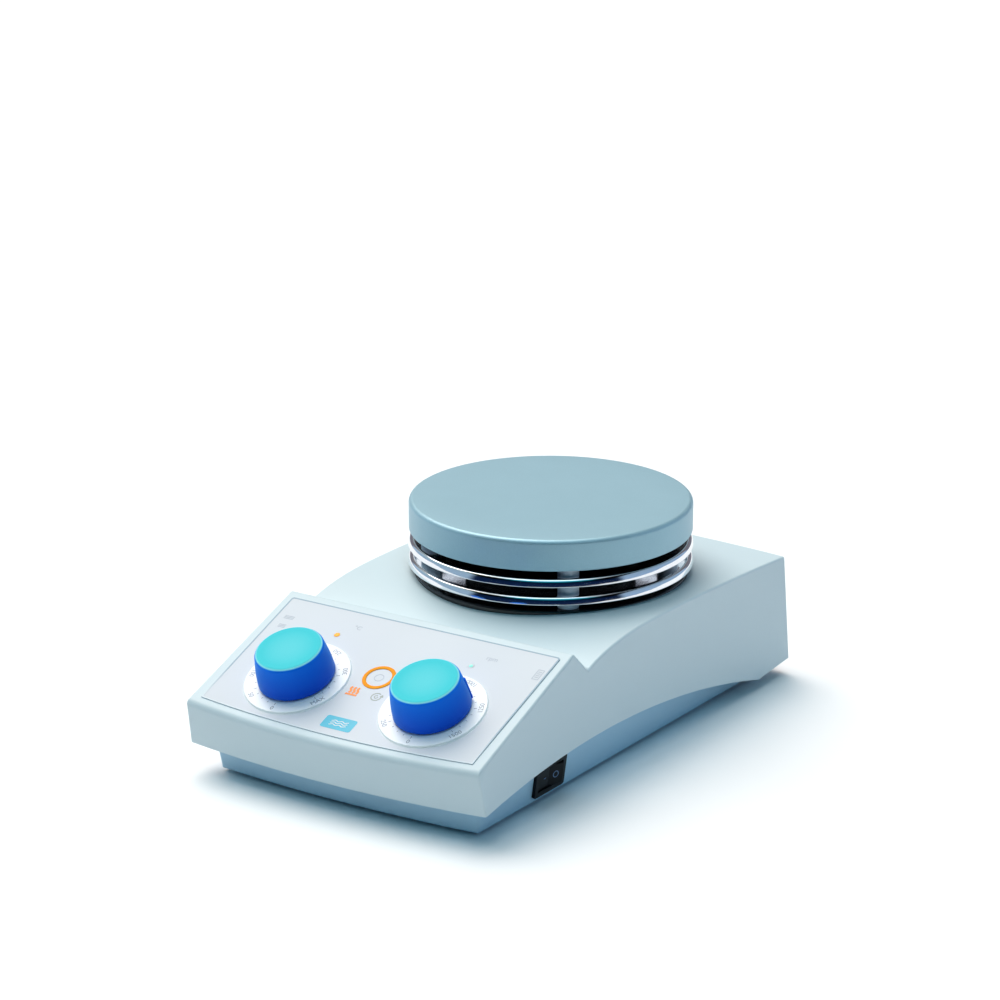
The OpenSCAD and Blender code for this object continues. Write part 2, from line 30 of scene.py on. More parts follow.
# Camera, at the photograph's viewing angle
CAMERA_TARGET = (-1.91, 4.16, 108.6)
CAMERA_DISTANCE = 1754
CAMERA_AZIMUTH = 33.73
CAMERA_ELEVATION = 17.73
CAMERA_LENS = 135.74
SENSOR_WIDTH = 36
CLIP_NEAR, CLIP_FAR = 0.05, 60  # in metres

# Housing outline
BODY_D, BODY_W, WALL = 280, 163, 2.6
SIDE_LEAN, FRONT_LEAN, REAR_LEAN = 2.9, 11, 2.5
FRONT_R, REAR_R = 686, 554
PANEL_ANGLE, PANEL_Z, PANEL_LEN = 21.3, 36.4, 84.4
PANEL_Y = -BODY_D / 2 + 4.8
PEAK_Y = PANEL_Y + PANEL_LEN * math.cos(math.radians(PANEL_ANGLE))
PEAK_Z = PANEL_Z + PANEL_LEN * math.sin(math.radians(PANEL_ANGLE))
VALLEY_Y, VALLEY_Z = PEAK_Y + 11, PEAK_Z - 10.7
CREST_Y, CREST_Z, REAR_Y, REAR_DROP = 29.8, 64.4, 132, 4.1
FRONT_POWER, REAR_POWER = 3.4, 1.5
ARCH_R, ARCH_TOP, ARCH_Y = 527, 24, -33.4
HEEL_Y, HEEL_Z, TAIL_RISE = 103.8, 5.8, 0.08
REAR_FOOT = HEEL_Z + 3
UNDERSIDE = -1
ABOVE = 90  # higher than every wall, for tools that cut right through

# Tray
FOOT_H, TRAY_W, TRAY_LEAN, TRAY_T = 1.8, 142, 8, 2.4
TRAY_FRONT, TRAY_REAR, TRAY_TOP = -125.8, 128, 25
FLANGE_TOP, FLANGE_T = 26.5, 2
BOSSES = [(x, y) for x in (-60, 60) for y in (-84, 84)]
BOSS_R = 5
FEET = [(x, y) for x in (-58, 58) for y in (-104, 106)]

# Control panel
KNOB_X, KNOB_S, KNOB_R, KNOB_TOP_R, KNOB_H, KNOB_FOOT = 37.2, 29.8, 18, 16.3, 18, 1.7
OVERLAY_T, DIAL_T, PRINT_T, NUMBER_T = 0.4, 0.8, 0.06, 0.05
RING_S, LED_X, LED_S = 41.9, 37, 62.2
POINTERS = {"temperature": 120, "speed": 40}

# Plate and the stack under it
PLATE_Y, PLATE_R, PLATE_T, PLATE_Z = 44.8, 67.5, 15, 100
RING_R, RING_H, RING_SHEET = 67.9, 4, 0.8
SPACERS = ("upper_spacers", "middle_spacers", "lower_spacers")
RING_TOPS = {"upper_heat_shield": 81.3, "lower_heat_shield": 72.7}
BASE_FLOOR, BASE_TOP, BASE_R, BORE_R = 59, 65, 65, 38
SHROUD_R, STUD_R = 40.5, 2
POSTS = [(x, y) for x in (-38.3, 38.3) for y in (-44.1, 44.1)]

# Mains parts
SWITCH_Y, SWITCH_Z, ROCKER_TILT, ROCKER_SUNK = -68.5, 11.9, 7, 2.5
INLET_X, INLET_Z, INLET_SEAT = 20, 38, 134.9
PROBE_X, PROBE_Z = -34, 38
ROD_X, ROD_Y = -58, 119.8

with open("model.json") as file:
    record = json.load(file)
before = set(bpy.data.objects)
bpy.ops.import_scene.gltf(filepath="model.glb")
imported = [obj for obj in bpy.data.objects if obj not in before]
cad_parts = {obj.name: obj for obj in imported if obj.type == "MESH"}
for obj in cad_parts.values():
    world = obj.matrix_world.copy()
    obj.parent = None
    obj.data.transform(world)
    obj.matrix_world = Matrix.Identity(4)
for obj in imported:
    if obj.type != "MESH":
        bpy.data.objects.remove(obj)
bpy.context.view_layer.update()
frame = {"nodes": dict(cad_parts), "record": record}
cad = frame["nodes"]
scene = bpy.context.scene


def rad(degrees):
    return math.radians(degrees)


def move(x=0, y=0, z=0):
    return Matrix.Translation((x, y, z))


def turn(degrees, axis):
    return Matrix.Rotation(rad(degrees), 4, axis)


PANEL = move(0, PANEL_Y, PANEL_Z) @ turn(PANEL_ANGLE, "X")
PLATE_AXIS = move(0, PLATE_Y, 0)
SWITCH_X = TRAY_W / 2 + (SWITCH_Z - FOOT_H) * math.tan(rad(TRAY_LEAN))
SWITCH = move(SWITCH_X, SWITCH_Y, SWITCH_Z) @ turn(90 + TRAY_LEAN, "Y")
ROCKER = SWITCH @ move(z=-ROCKER_SUNK) @ turn(ROCKER_TILT, "X")


# ---------------- camera, floor and light

def make_camera():
    data = bpy.data.cameras.new("camera")
    data.lens, data.sensor_width = CAMERA_LENS, SENSOR_WIDTH
    data.clip_start, data.clip_end = CLIP_NEAR, CLIP_FAR
    camera = bpy.data.objects.new("camera", data)
    scene.collection.objects.link(camera)
    a, e = rad(CAMERA_AZIMUTH), rad(CAMERA_ELEVATION)
    back = Vector((math.sin(a) * math.cos(e), -math.cos(a) * math.cos(e), math.sin(e)))
    camera.location = (Vector(CAMERA_TARGET) + back * CAMERA_DISTANCE) * MM
    camera.rotation_mode = "QUATERNION"
    camera.rotation_quaternion = (-back).to_track_quat("-Z", "Y")
    scene.camera = camera


# Broad soft panels of light on the sky: direction, cosines where it starts and is full, radiance
LOBES = (
    ((-0.05, -0.06, 1), 0.79, 0.97, (1.56, 1.67, 1.705)),
    ((-0.40, 0.41, 0.82), 0.75, 0.95, (0.21, 0.16, 0.12)),
    ((-0.57, 0, 0.82), 0.75, 0.95, (0.10, 0.13, 0.06)),
    ((0.30, -0.48, 0.82), 0.82, 0.97, (0.02, 0.36, 0.50)),
    ((-0.948, -0.321, 0.14), 0.72, 0.81, (0.31, 0.44, 0.55)),
    ((0.758, 0.652, 0.14), 0.72, 0.81, (0.28, 0.41, 0.56)),
    ((-0.5, 0.8, 0.25), 0.60, 0.90, (0.19, 0.18, 0.19)),
)
HORIZON, HORIZON_TOP = (0.004, 0.014, 0.05), 0.5
SUN_POWER, SUN_ANGLE, SUN_COLOR, SUN_TOWARD = 2.5, 50, (1.0, 0.875, 0.82), (0.59, -0.22, -1.0)


def make_world():
    world = bpy.data.worlds.new("studio")
    scene.world = world
    world.use_nodes = True
    tree = world.node_tree
    background = tree.nodes["Background"]
    direction = tree.nodes.new("ShaderNodeTexCoord").outputs["Generated"]
    height = add(tree, "ShaderNodeSeparateXYZ", Vector=direction).outputs["Z"]
    low_band = add(tree, "ShaderNodeMapRange", Value=height, From_Min=0.0, From_Max=HORIZON_TOP,
                   To_Min=1.0, To_Max=0.0)
    low_band.interpolation_type = "SMOOTHSTEP"
    total = add(tree, "ShaderNodeVectorMath", Vector=low_band.outputs[0])
    total.operation = "MULTIPLY"
    total.inputs[1].default_value = HORIZON
    for toward, start, full, radiance in LOBES:
        facing = add(tree, "ShaderNodeVectorMath", Vector=direction)
        facing.operation = "DOT_PRODUCT"
        facing.inputs[1].default_value = Vector(toward).normalized()
        lobe = add(tree, "ShaderNodeMapRange", Value=facing.outputs["Value"], From_Min=start,
                   From_Max=full)
        lobe.interpolation_type = "SMOOTHSTEP"
        summed = add(tree, "ShaderNodeVectorMath", Vector=lobe.outputs[0])
        summed.operation = "MULTIPLY_ADD"
        summed.inputs[1].default_value = radiance
        tree.links.new(total.outputs[0], summed.inputs[2])
        total = summed
    seen = tree.nodes.new("ShaderNodeLightPath").outputs["Is Camera Ray"]
    white = add(tree, "ShaderNodeVectorMath", Vector=seen)
    white.operation = "ADD"
    tree.links.new(total.outputs[0], white.inputs[1])
    tree.links.new(white.outputs[0], background.inputs["Color"])
    background.inputs["Strength"].default_value = 1.0


def make_floor():
    side, front, back = 2.2, -0.62, 4.5  # in metres
    mesh = bpy.data.meshes.new("floor")
    corners = [(-side, front, 0), (side, front, 0), (side, back, 0), (-side, back, 0)]
    mesh.from_pydata(corners, [], [(0, 1, 2, 3)])
    floor = bpy.data.objects.new("floor", mesh)
    scene.collection.objects.link(floor)
    material, _, shader = new_material("floor_paper")
    shader.inputs["Base Color"].default_value = (0.93, 0.945, 0.955, 1)
    shader.inputs["Roughness"].default_value = 0.9
    shader.inputs["Specular IOR Level"].default_value = 0.1
    mesh.materials.append(material)


def make_light():
    sun = bpy.data.lights.new("soft_sun", "SUN")
    sun.energy, sun.angle, sun.color = SUN_POWER, rad(SUN_ANGLE), SUN_COLOR
    light = bpy.data.objects.new("soft_sun", sun)
    scene.collection.objects.link(light)
    light.rotation_mode = "QUATERNION"
    light.rotation_quaternion = Vector(SUN_TOWARD).to_track_quat("-Z", "Y")


# ---------------- materials

def new_material(name):
    material = bpy.data.materials.new(name)
    material.use_nodes = True
    tree = material.node_tree
    return material, tree, tree.nodes["Principled BSDF"]


def add(tree, kind, **inputs):
    """A new node with some of its inputs set; a value that is an output socket is linked."""
    node = tree.nodes.new(kind)
    for key, value in inputs.items():
        socket = node.inputs[key.replace("_", " ")]
        if isinstance(value, bpy.types.NodeSocket):
            tree.links.new(value, socket)
        else:
            socket.default_value = value
    return node


def object_place(tree, stretch=(1, 1, 1), centre=(0, 0, 0)):
    place = tree.nodes.new("ShaderNodeTexCoord").outputs["Object"]
    shifted = add(tree, "ShaderNodeMapping", Vector=place, Scale=stretch)
    shifted.inputs["Location"].default_value = [-c * MM * s for c, s in zip(centre, stretch)]
    return shifted.outputs[0]


def noise(tree, vector, size_mm, detail=2.0, roughness=0.5):
    return add(tree, "ShaderNodeTexNoise", Vector=vector, Scale=1 / (size_mm * MM), Detail=detail,
               Roughness=roughness).outputs["Fac"]


def spread(tree, value, low, high, start=0.3, end=0.7):
    return add(tree, "ShaderNodeMapRange", Value=value, From_Min=start, From_Max=end, To_Min=low,
               To_Max=high).outputs[0]


def tint(tree, factor, first, second):
    """A mix of two colours by a factor; each of the three is a value or another node's output."""
    mix = tree.nodes.new("ShaderNodeMix")
    mix.data_type = "RGBA"
    for key, value in (("A", first), ("B", second), ("Factor", factor)):
        if isinstance(value, bpy.types.NodeSocket):
            tree.links.new(value, mix.inputs[key])
        else:
            mix.inputs[key].default_value = value if key == "Factor" else (*value, 1)
    return mix.outputs["Result"]


def shade(color, share):
    return tuple(min(1.0, c * share) for c in color)


def dress_shader(tree, shader, color, rough, height, depth_mm, strength=1.0, **sockets):
    """Links colour, roughness and bump, and sets the sockets that are the same all over."""
    tree.links.new(color, shader.inputs["Base Color"])
    tree.links.new(rough, shader.inputs["Roughness"])
    relief = add(tree, "ShaderNodeBump", Height=height, Strength=strength, Distance=depth_mm * MM)
    tree.links.new(relief.outputs[0], shader.inputs["Normal"])
    for key, value in sockets.items():
        shader.inputs[key.replace("_", " ")].default_value = value


def base_surface(name, color, rough, grain_mm, depth_mm, variation=0.03, stretch=(1, 1, 1), mottle_mm=22,
                 **sockets):
    """Mottled colour, uneven gloss and a fine grain: the ground of most finishes."""
    material, tree, shader = new_material(name)
    fine = noise(tree, object_place(tree, stretch), grain_mm, 3.0)
    broad = noise(tree, object_place(tree), mottle_mm, 3.0)
    mottled = tint(tree, broad, shade(color, 1 - variation), shade(color, 1 + variation))
    dress_shader(tree, shader, mottled, spread(tree, fine, *rough), fine, depth_mm, **sockets)
    return material


def moulded_plastic(name, color, rough=(0.42, 0.52), grain_mm=0.45, depth_mm=0.012, **sockets):
    return base_surface(name, color, rough, grain_mm, depth_mm, 0.015, **sockets)


def rolled_metal(name, color, rough=(0.22, 0.34), stretch=(1, 1, 12), grain_mm=0.8):
    return base_surface(name, color, rough, grain_mm, 0.004, 0.05, stretch, Metallic=1.0)


def turned_metal(name, color, rough, centre, groove_mm=0.5, depth_mm=0.003):
    """Metal with the fine rings a lathe leaves around an upright axis through centre."""
    material, tree, shader = new_material(name)
    radius = add(tree, "ShaderNodeVectorMath", Vector=object_place(tree, (1, 1, 0), centre))
    radius.operation = "LENGTH"
    rings = add(tree, "ShaderNodeCombineXYZ", X=radius.outputs["Value"])
    groove = noise(tree, rings.outputs[0], groove_mm, 2.0)
    smear = noise(tree, object_place(tree), 14, 3.0)
    smeared = tint(tree, smear, shade(color, 0.93), shade(color, 1.04))
    dress_shader(tree, shader, smeared, spread(tree, groove, *rough), groove, depth_mm, Metallic=1.0)
    return material


def knob_plastic():
    """Satin blue moulding with painted light: the flank painted lighter towards its top, the crown painted a
    pale lit cyan, and a painted highlight along the crown's rim.
    """
    material, tree, shader = new_material("knob_blue")
    place = tree.nodes.new("ShaderNodeTexCoord").outputs["Object"]
    up = Vector((0, -math.sin(rad(PANEL_ANGLE)), math.cos(rad(PANEL_ANGLE))))
    height = add(tree, "ShaderNodeVectorMath", Vector=place)
    height.operation = "DOT_PRODUCT"
    height.inputs[1].default_value = up
    foot = (Vector((0, PANEL_Y, PANEL_Z)) * MM).dot(up)

    def between(low, high, start=0, end=1):
        return spread(tree, height.outputs["Value"], start, end, foot + low * MM, foot + high * MM)

    # painted light: the crown takes a pale lit cyan and the flank a deep blue, lit and shaded copies of one
    # blue
    crown = between(KNOB_H - 0.75, KNOB_H - 0.4)
    # painted shade: the flank is painted darker at its foot and lighter towards its top
    body = tint(tree, between(2, KNOB_H - 1), (0.0, 0.055, 0.60), (0.0, 0.16, 0.86))
    fine = noise(tree, place, 0.35, 3.0)
    face = tint(tree, fine, (0.035, 0.61, 0.68), (0.055, 0.67, 0.73))
    # painted highlight: a pale band along the crown's rim, where the top light catches the rounded edge
    painted_rim_highlight = tint(tree, fine, (0.24, 0.80, 0.86), (0.30, 0.84, 0.90))
    top = tint(tree, between(KNOB_H - 0.3, KNOB_H - 0.05, 1, 0), face, painted_rim_highlight)
    dress_shader(tree, shader, tint(tree, crown, body, top), spread(tree, fine, 0.42, 0.54), fine, 0.008,
                 Specular_IOR_Level=0.08, Sheen_Weight=0.35, Sheen_Tint=(0.1, 0.6, 1.0, 1))
    return material


def chrome():
    material, tree, shader = new_material("polished_ring")
    place = object_place(tree)
    smear = noise(tree, place, 9, 3.0)
    dress_shader(tree, shader, tint(tree, smear, (0.78, 0.80, 0.84), (0.86, 0.88, 0.91)),
                 spread(tree, smear, 0.05, 0.10), noise(tree, place, 5, 1.0), 0.012, Metallic=1.0)
    return material


def plate_ceramic():
    """Sprayed ceramic coat: a fine two-tone speckle with a soft satin gloss."""
    material, tree, shader = new_material("plate_ceramic")
    place = object_place(tree)
    speck = noise(tree, place, 0.35, 4.0, 0.7)
    cloud = noise(tree, place, 18, 2.0)
    spots = spread(tree, speck, 0, 1, 0.35, 0.65)
    speckled = tint(tree, spots, (0.27, 0.455, 0.54), (0.37, 0.595, 0.68))
    clouded = tint(tree, cloud, (0.29, 0.48, 0.57), (0.335, 0.535, 0.63))
    dress_shader(tree, shader, tint(tree, 0.5, speckled, clouded), spread(tree, speck, 0.36, 0.52),
                 speck, 0.02, Metallic=0.35)
    return material


def printed_film():
    """Satin polyester film over the panel, with a very fine etched grain."""
    material, tree, shader = new_material("overlay_film")
    place = object_place(tree)
    etched = noise(tree, place, 0.22, 2.0)
    clouded = tint(tree, noise(tree, place, 40, 1.0), (0.575, 0.645, 0.70), (0.61, 0.68, 0.735))
    dress_shader(tree, shader, clouded, spread(tree, etched, 0.42, 0.52), etched, 0.004, 0.6)
    return material


def border_ink():
    """The thin grey of the film's border, painted paler towards the panel's front edge: painted light against
    the shade along the film's front edge.
    """
    material, tree, shader = new_material("line_grey")
    place = tree.nodes.new("ShaderNodeTexCoord").outputs["Object"]
    depth = add(tree, "ShaderNodeSeparateXYZ", Vector=place).outputs["Y"]
    # painted light: the line is painted pale at the panel's front, blending to its own grey 25 mm back, to
    # lift the shade at the film's front edge
    back = spread(tree, depth, 0, 1, (PANEL_Y + 5) * MM, (PANEL_Y + 25) * MM)
    fine = noise(tree, place, 0.15, 3.0)
    front = tint(tree, fine, (0.60, 0.70, 0.75), (0.66, 0.76, 0.81))
    rear = tint(tree, fine, (0.26, 0.40, 0.50), (0.30, 0.44, 0.54))
    dress_shader(tree, shader, tint(tree, back, front, rear), spread(tree, fine, 0.42, 0.55), fine, 0.003)
    return material


def lens(name, color, glow):
    material, tree, shader = new_material(name)
    facets = noise(tree, object_place(tree), 0.6, 1.0)
    dress_shader(tree, shader, tint(tree, facets, shade(color, 0.8), color), spread(tree, facets, 0.30, 0.42),
                 facets, 0.01, Specular_IOR_Level=0.25, Coat_Weight=0.1, Emission_Color=(*color, 1),
                 Emission_Strength=glow)
    return material


def circuit_board():
    """Solder mask over copper tracks: tracks run in straight cells, a little raised and paler."""
    material, tree, shader = new_material("circuit_board")
    cell = 5 * MM
    cells = add(tree, "ShaderNodeTexVoronoi", Vector=object_place(tree), Scale=1 / cell)
    cells.distance, cells.feature = "CHEBYCHEV", "F2"
    tracks = spread(tree, cells.outputs["Distance"], 0, 1, 0.42, 0.50)
    weave = noise(tree, object_place(tree), 0.5, 2.0)
    dress_shader(tree, shader, tint(tree, tracks, (0.010, 0.085, 0.040), (0.025, 0.16, 0.075)),
                 spread(tree, weave, 0.25, 0.38), tracks, 0.03)
    return material


def lamination_steel():
    """Stacked sheet steel: thin dark gaps between bright edges, up the motor's axis."""
    material, tree, shader = new_material("laminations")
    scale = 3 / (1.2 * MM * math.tau)
    bands = add(tree, "ShaderNodeTexWave", Vector=object_place(tree), Scale=scale, Distortion=0.3)
    bands.bands_direction = "Z"
    value = bands.outputs["Fac"]
    dress_shader(tree, shader, tint(tree, value, (0.10, 0.09, 0.085), (0.42, 0.40, 0.38)),
                 spread(tree, value, 0.32, 0.55), value, 0.05, Metallic=0.9)
    return material


def mineral_board():
    material, tree, shader = new_material("mineral_board")
    fibre = noise(tree, object_place(tree, (1, 6, 1)), 3, 4.0, 0.7)
    flake = noise(tree, object_place(tree), 1.2, 3.0)
    dress_shader(tree, shader, tint(tree, fibre, (0.50, 0.46, 0.38), (0.72, 0.68, 0.58)),
                 spread(tree, flake, 0.75, 0.95), flake, 0.12)
    return material


def rubber():
    material, tree, shader = new_material("rubber")
    pores = noise(tree, object_place(tree), 0.3, 3.0, 0.6)
    dust = noise(tree, object_place(tree), 6, 3.0)
    dress_shader(tree, shader, tint(tree, dust, (0.014, 0.015, 0.017), (0.034, 0.036, 0.040)),
                 spread(tree, pores, 0.6, 0.85), pores, 0.04)
    return material


INKS = {
    "faint_grey": (0.44, 0.51, 0.58),
    "number_grey": (0.31, 0.35, 0.39),
    "icon_orange": (0.95, 0.27, 0.03),
    "icon_green": (0.32, 0.38, 0.33),
    "badge_cyan": (0.04, 0.50, 0.68),
    "mark_white": (0.75, 0.78, 0.80),
    "mark_dim": (0.08, 0.17, 0.32),
}


def build_materials():
    """One finish for each of the record's slots, then the visual pieces' own."""
    made = [
        moulded_plastic("housing_plastic", (0.572, 0.705, 0.755)),
        moulded_plastic("tray_plastic", (0.366, 0.60, 0.76)),
        rubber(),
        rolled_metal("steel", (0.62, 0.63, 0.65)),
        printed_film(),
        moulded_plastic("dial_white", (0.91, 0.985, 0.995), (0.32, 0.42), 0.3, 0.004),
        lens("signal_orange", (1.0, 0.40, 0.01), 0.35),
        lens("signal_green", (0.30, 0.90, 0.72), 0.3),
        knob_plastic(),
        moulded_plastic("black_plastic", (0.006, 0.007, 0.009), (0.34, 0.46), 0.4, 0.01,
                        Specular_IOR_Level=0.12),
        circuit_board(),
        rolled_metal("brass", (0.72, 0.52, 0.24), (0.20, 0.36)),
        plate_ceramic(),
        rolled_metal("element_metal", (0.34, 0.30, 0.28), (0.4, 0.6), (4, 4, 1), 1.5),
        mineral_board(),
        chrome(),
        rolled_metal("aluminium", (0.74, 0.75, 0.77), (0.28, 0.42), (10, 1, 1)),
        lamination_steel(),
        turned_metal("magnet_nickel", (0.70, 0.69, 0.66), (0.14, 0.24), (0, PLATE_Y, 0)),
        base_surface("ceramic_white", (0.82, 0.81, 0.78), (0.25, 0.4), 0.8, 0.01),
        base_surface("capacitor_sleeve", (0.02, 0.03, 0.09), (0.22, 0.32), 2, 0.02, 0.1),
        base_surface("stack_black", (0.010, 0.011, 0.013), (0.10, 0.18), 1.5, 0.004, 0.1),
        border_ink(),
        base_surface("ring_orange", (0.95, 0.33, 0.0), (0.45, 0.55), 0.3, 0.004, 0.04,
                     Specular_IOR_Level=0.1),
        base_surface("spacer_grey", (0.62, 0.74, 0.82), (0.45, 0.60), 0.4, 0.01),
    ]
    made += [base_surface(name, color, (0.42, 0.55), 0.15, 0.003, 0.05, mottle_mm=3)
             for name, color in INKS.items()]
    # the frame holds CAD materials of the same names, so Blender adds a number to these
    return {material.name.partition(".")[0]: material for material in made}


# ---------------- mesh helpers

def new_piece(name, bm, material=None):
    """An object of a bmesh whose points are in millimetres."""
    bmesh.ops.scale(bm, vec=(MM, MM, MM), verts=bm.verts)
    bmesh.ops.recalc_face_normals(bm, faces=bm.faces)
    mesh = bpy.data.meshes.new(name)
    bm.to_mesh(mesh)
    bm.free()
    if material:
        mesh.materials.append(material)
    piece = bpy.data.objects.new(name, mesh)
    scene.collection.objects.link(piece)
    return piece


def bake_modifiers(piece, smooth_angle=30):
    """Replaces the piece's mesh with what its modifiers make of it, smooth-shaded but for its sharp edges."""
    bpy.context.view_layer.update()
    shown = piece.evaluated_get(bpy.context.evaluated_depsgraph_get())
    mesh = bpy.data.meshes.new_from_object(shown)
    piece.modifiers.clear()
    piece.data = mesh
    mesh.shade_smooth()
    mesh.set_sharp_from_angle(angle=rad(smooth_angle))


def finish_piece(piece, body, slot, *replaced, smooth_angle=30, weighted=False):
    """Shades the piece, and tells the frame its body and the CAD nodes it stands for; the slot is not used.
    """
    piece.data.shade_smooth()
    piece.data.set_sharp_from_angle(angle=rad(smooth_angle))
    if weighted:
        piece.modifiers.new("even_normals", "WEIGHTED_NORMAL").keep_sharp = True
        bake_modifiers(piece, smooth_angle)
    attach(piece, body)
    if replaced:
        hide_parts(*replaced)


def cut(piece, tool, operation="DIFFERENCE", overlapping=False):
    """Applies one exact boolean with the object tool, and deletes the tool."""
    modifier = piece.modifiers.new("cut", "BOOLEAN")
    modifier.operation, modifier.solver, modifier.object = operation, "EXACT", tool
    modifier.use_self = overlapping
    bake_modifiers(piece)
    bpy.data.objects.remove(tool)


def round_edges(piece, width_mm, segments=4):
    """Rounds the edges by their own bevel weights, width_mm at weight 1."""
    modifier = piece.modifiers.new("round", "BEVEL")
    modifier.limit_method, modifier.width, modifier.segments = "WEIGHT", width_mm * MM, segments
    bake_modifiers(piece)


def lathe(bm, profile, matrix=Matrix(), segments=96):
    """Adds the closed solid that a profile of (radius, height) points sweeps around the local Z axis."""
    rings, on_axis = [], 1e-6
    for r, z in profile:
        if r < on_axis:
            rings.append([bm.verts.new(matrix @ Vector((0, 0, z)))])
        else:
            rings.append([bm.verts.new(matrix @ Vector((r * math.cos(a), r * math.sin(a), z)))
                          for a in (math.tau * i / segments for i in range(segments))])
    for low, high in zip(rings, rings[1:] + rings[:1]):
        if len(low) == 1 and len(high) == 1:
            continue
        for i in range(segments):
            j = (i + 1) % segments
            corners = [low[i % len(low)], low[j % len(low)], high[j % len(high)], high[i % len(high)]]
            bm.faces.new(list(dict.fromkeys(corners)))


def turned_piece(name, profile, axis, segments, material, slot, *replaced, smooth_angle=30):
    """A finished piece on the base, turned from a profile."""
    bm = bmesh.new()
    lathe(bm, profile, axis, segments)
    finish_piece(new_piece(name, bm, material), "base", slot, *replaced, smooth_angle=smooth_angle)


def arc(cx, cz, r, start, end, steps):
    """Points of an arc in a profile, from one angle to another in degrees."""
    return [(cx + r * math.cos(rad(start + (end - start) * i / steps)),
             cz + r * math.sin(rad(start + (end - start) * i / steps))) for i in range(steps + 1)]


def prism(bm, outline, low, high, matrix=Matrix()):
    """Adds an upright prism of an outline of (x, y) points."""
    bottom = [bm.verts.new(matrix @ Vector((x, y, low))) for x, y in outline]
    top = [bm.verts.new(matrix @ Vector((x, y, high))) for x, y in outline]
    bm.faces.new(bottom)
    bm.faces.new(top)
    for i in range(len(outline)):
        j = (i + 1) % len(outline)
        bm.faces.new([bottom[i], bottom[j], top[j], top[i]])
    return bottom, top


def box(bm, low, high, matrix=Matrix()):
    outline = [(low[0], low[1]), (high[0], low[1]), (high[0], high[1]), (low[0], high[1])]
    return prism(bm, outline, low[2], high[2], matrix)


def rod(bm, r, low, high, matrix=Matrix(), segments=48):
    lathe(bm, [(0, low), (r, low), (r, high), (0, high)], matrix, segments)


def strip(bm, outer, inner, low, high, matrix=Matrix(), closed=True):
    """Adds a raised band between two outlines with the same number of points."""
    levels = [[bm.verts.new(matrix @ Vector((x, y, z))) for x, y in line]
              for line, z in ((outer, low), (outer, high), (inner, high), (inner, low))]
    count = len(outer)
    for i in range(count if closed else count - 1):
        j = (i + 1) % count
        for a, b in zip(levels, levels[1:] + levels[:1]):
            bm.faces.new([a[i], a[j], b[j], b[i]])
    if not closed:
        for end in (0, count - 1):
            bm.faces.new([line[end] for line in levels])


def stroke(bm, points, width, low, high, matrix=Matrix()):
    """Adds a raised stroke of constant width along a line of points."""
    left, right = [], []
    for i, p in enumerate(points):
        before, after = Vector(points[max(i - 1, 0)]), Vector(points[min(i + 1, len(points) - 1)])
        along = (after - before).normalized()
        across = Vector((-along.y, along.x)) * width / 2
        left.append(tuple(Vector(p) + across))
        right.append(tuple(Vector(p) - across))
    strip(bm, left, right, low, high, matrix, closed=False)


def ring_points(r, start=0, end=360, steps=48, centre=(0, 0)):
    return [(centre[0] + r * math.cos(rad(a)), centre[1] + r * math.sin(rad(a)))
            for a in (start + (end - start) * i / steps for i in range(steps + 1))]


def lettering(bm, text, height, low, thickness, matrix):
    """Adds raised characters, centred on the matrix's origin; height is a capital's."""
    capital_share, weld = 0.7, 1e-4
    curve = bpy.data.curves.new("lettering", "FONT")
    curve.body, curve.size = text, height / capital_share
    curve.align_x, curve.align_y = "CENTER", "CENTER"
    curve.resolution_u = 4
    curve.extrude = thickness / 2
    holder = bpy.data.objects.new("lettering", curve)
    scene.collection.objects.link(holder)
    bpy.context.view_layer.update()
    mesh = bpy.data.meshes.new_from_object(holder.evaluated_get(bpy.context.evaluated_depsgraph_get()))
    mesh.transform(matrix @ move(z=low + thickness / 2))
    letters = bmesh.new()
    letters.from_mesh(mesh)
    bmesh.ops.remove_doubles(letters, verts=letters.verts, dist=weld)
    joined = bpy.data.meshes.new("letters")
    letters.to_mesh(joined)
    letters.free()
    bm.from_mesh(joined)
    bpy.data.objects.remove(holder)
    for used in (mesh, joined):
        bpy.data.meshes.remove(used)
    bpy.data.curves.remove(curve)


# ---------------- housing

def deck_z(y):
    if y < CREST_Y:
        return CREST_Z - (CREST_Z - VALLEY_Z) * ((CREST_Y - y) / (CREST_Y - VALLEY_Y)) ** FRONT_POWER
    return CREST_Z - REAR_DROP * ((y - CREST_Y) / (REAR_Y - CREST_Y)) ** REAR_POWER


def panel_line(y):
    return PANEL_Z + (y - PANEL_Y) * math.tan(rad(PANEL_ANGLE))


def lower_edge(y):
    if y > HEEL_Y:
        return HEEL_Z + (y - HEEL_Y) * TAIL_RISE
    return ARCH_TOP - ARCH_R + math.sqrt(ARCH_R ** 2 - (y - ARCH_Y) ** 2)


def front_drum(x, z, y0, z0, r, lean):
    return y0 + (r - math.sqrt(r * r - x * x) - (z - z0) * math.sin(rad(lean))) / math.cos(rad(lean))


def rear_drum(x, z, y0, z0, r, lean):
    return y0 - (r - math.sqrt(r * r - x * x)) / math.cos(rad(lean)) - (z - z0) * math.tan(rad(lean))


def half_width(z, inset):
    return BODY_W / 2 - inset - (z - HEEL_Z) * math.tan(rad(SIDE_LEAN))


def front_face(x, z, inset):
    return front_drum(x, z, -BODY_D / 2 + inset, PANEL_Z, FRONT_R, FRONT_LEAN)


def rear_face(x, z, inset):
    return rear_drum(x, z, BODY_D / 2 - inset, REAR_FOOT, REAR_R, REAR_LEAN)


def meet(u, inset, face, line, z):
    """Where the end face meets a height line, at the share u of the half width, from a first guess z."""
    rounds = 12
    for _ in range(rounds):
        x = u * half_width(z, inset)
        y = face(x, z, inset)
        z = line(y)
    return x, y, z


FRONT_ROWS, PANEL_ROWS, DECK_ROWS, REAR_ROWS = 3, 9, (12, 10), 5


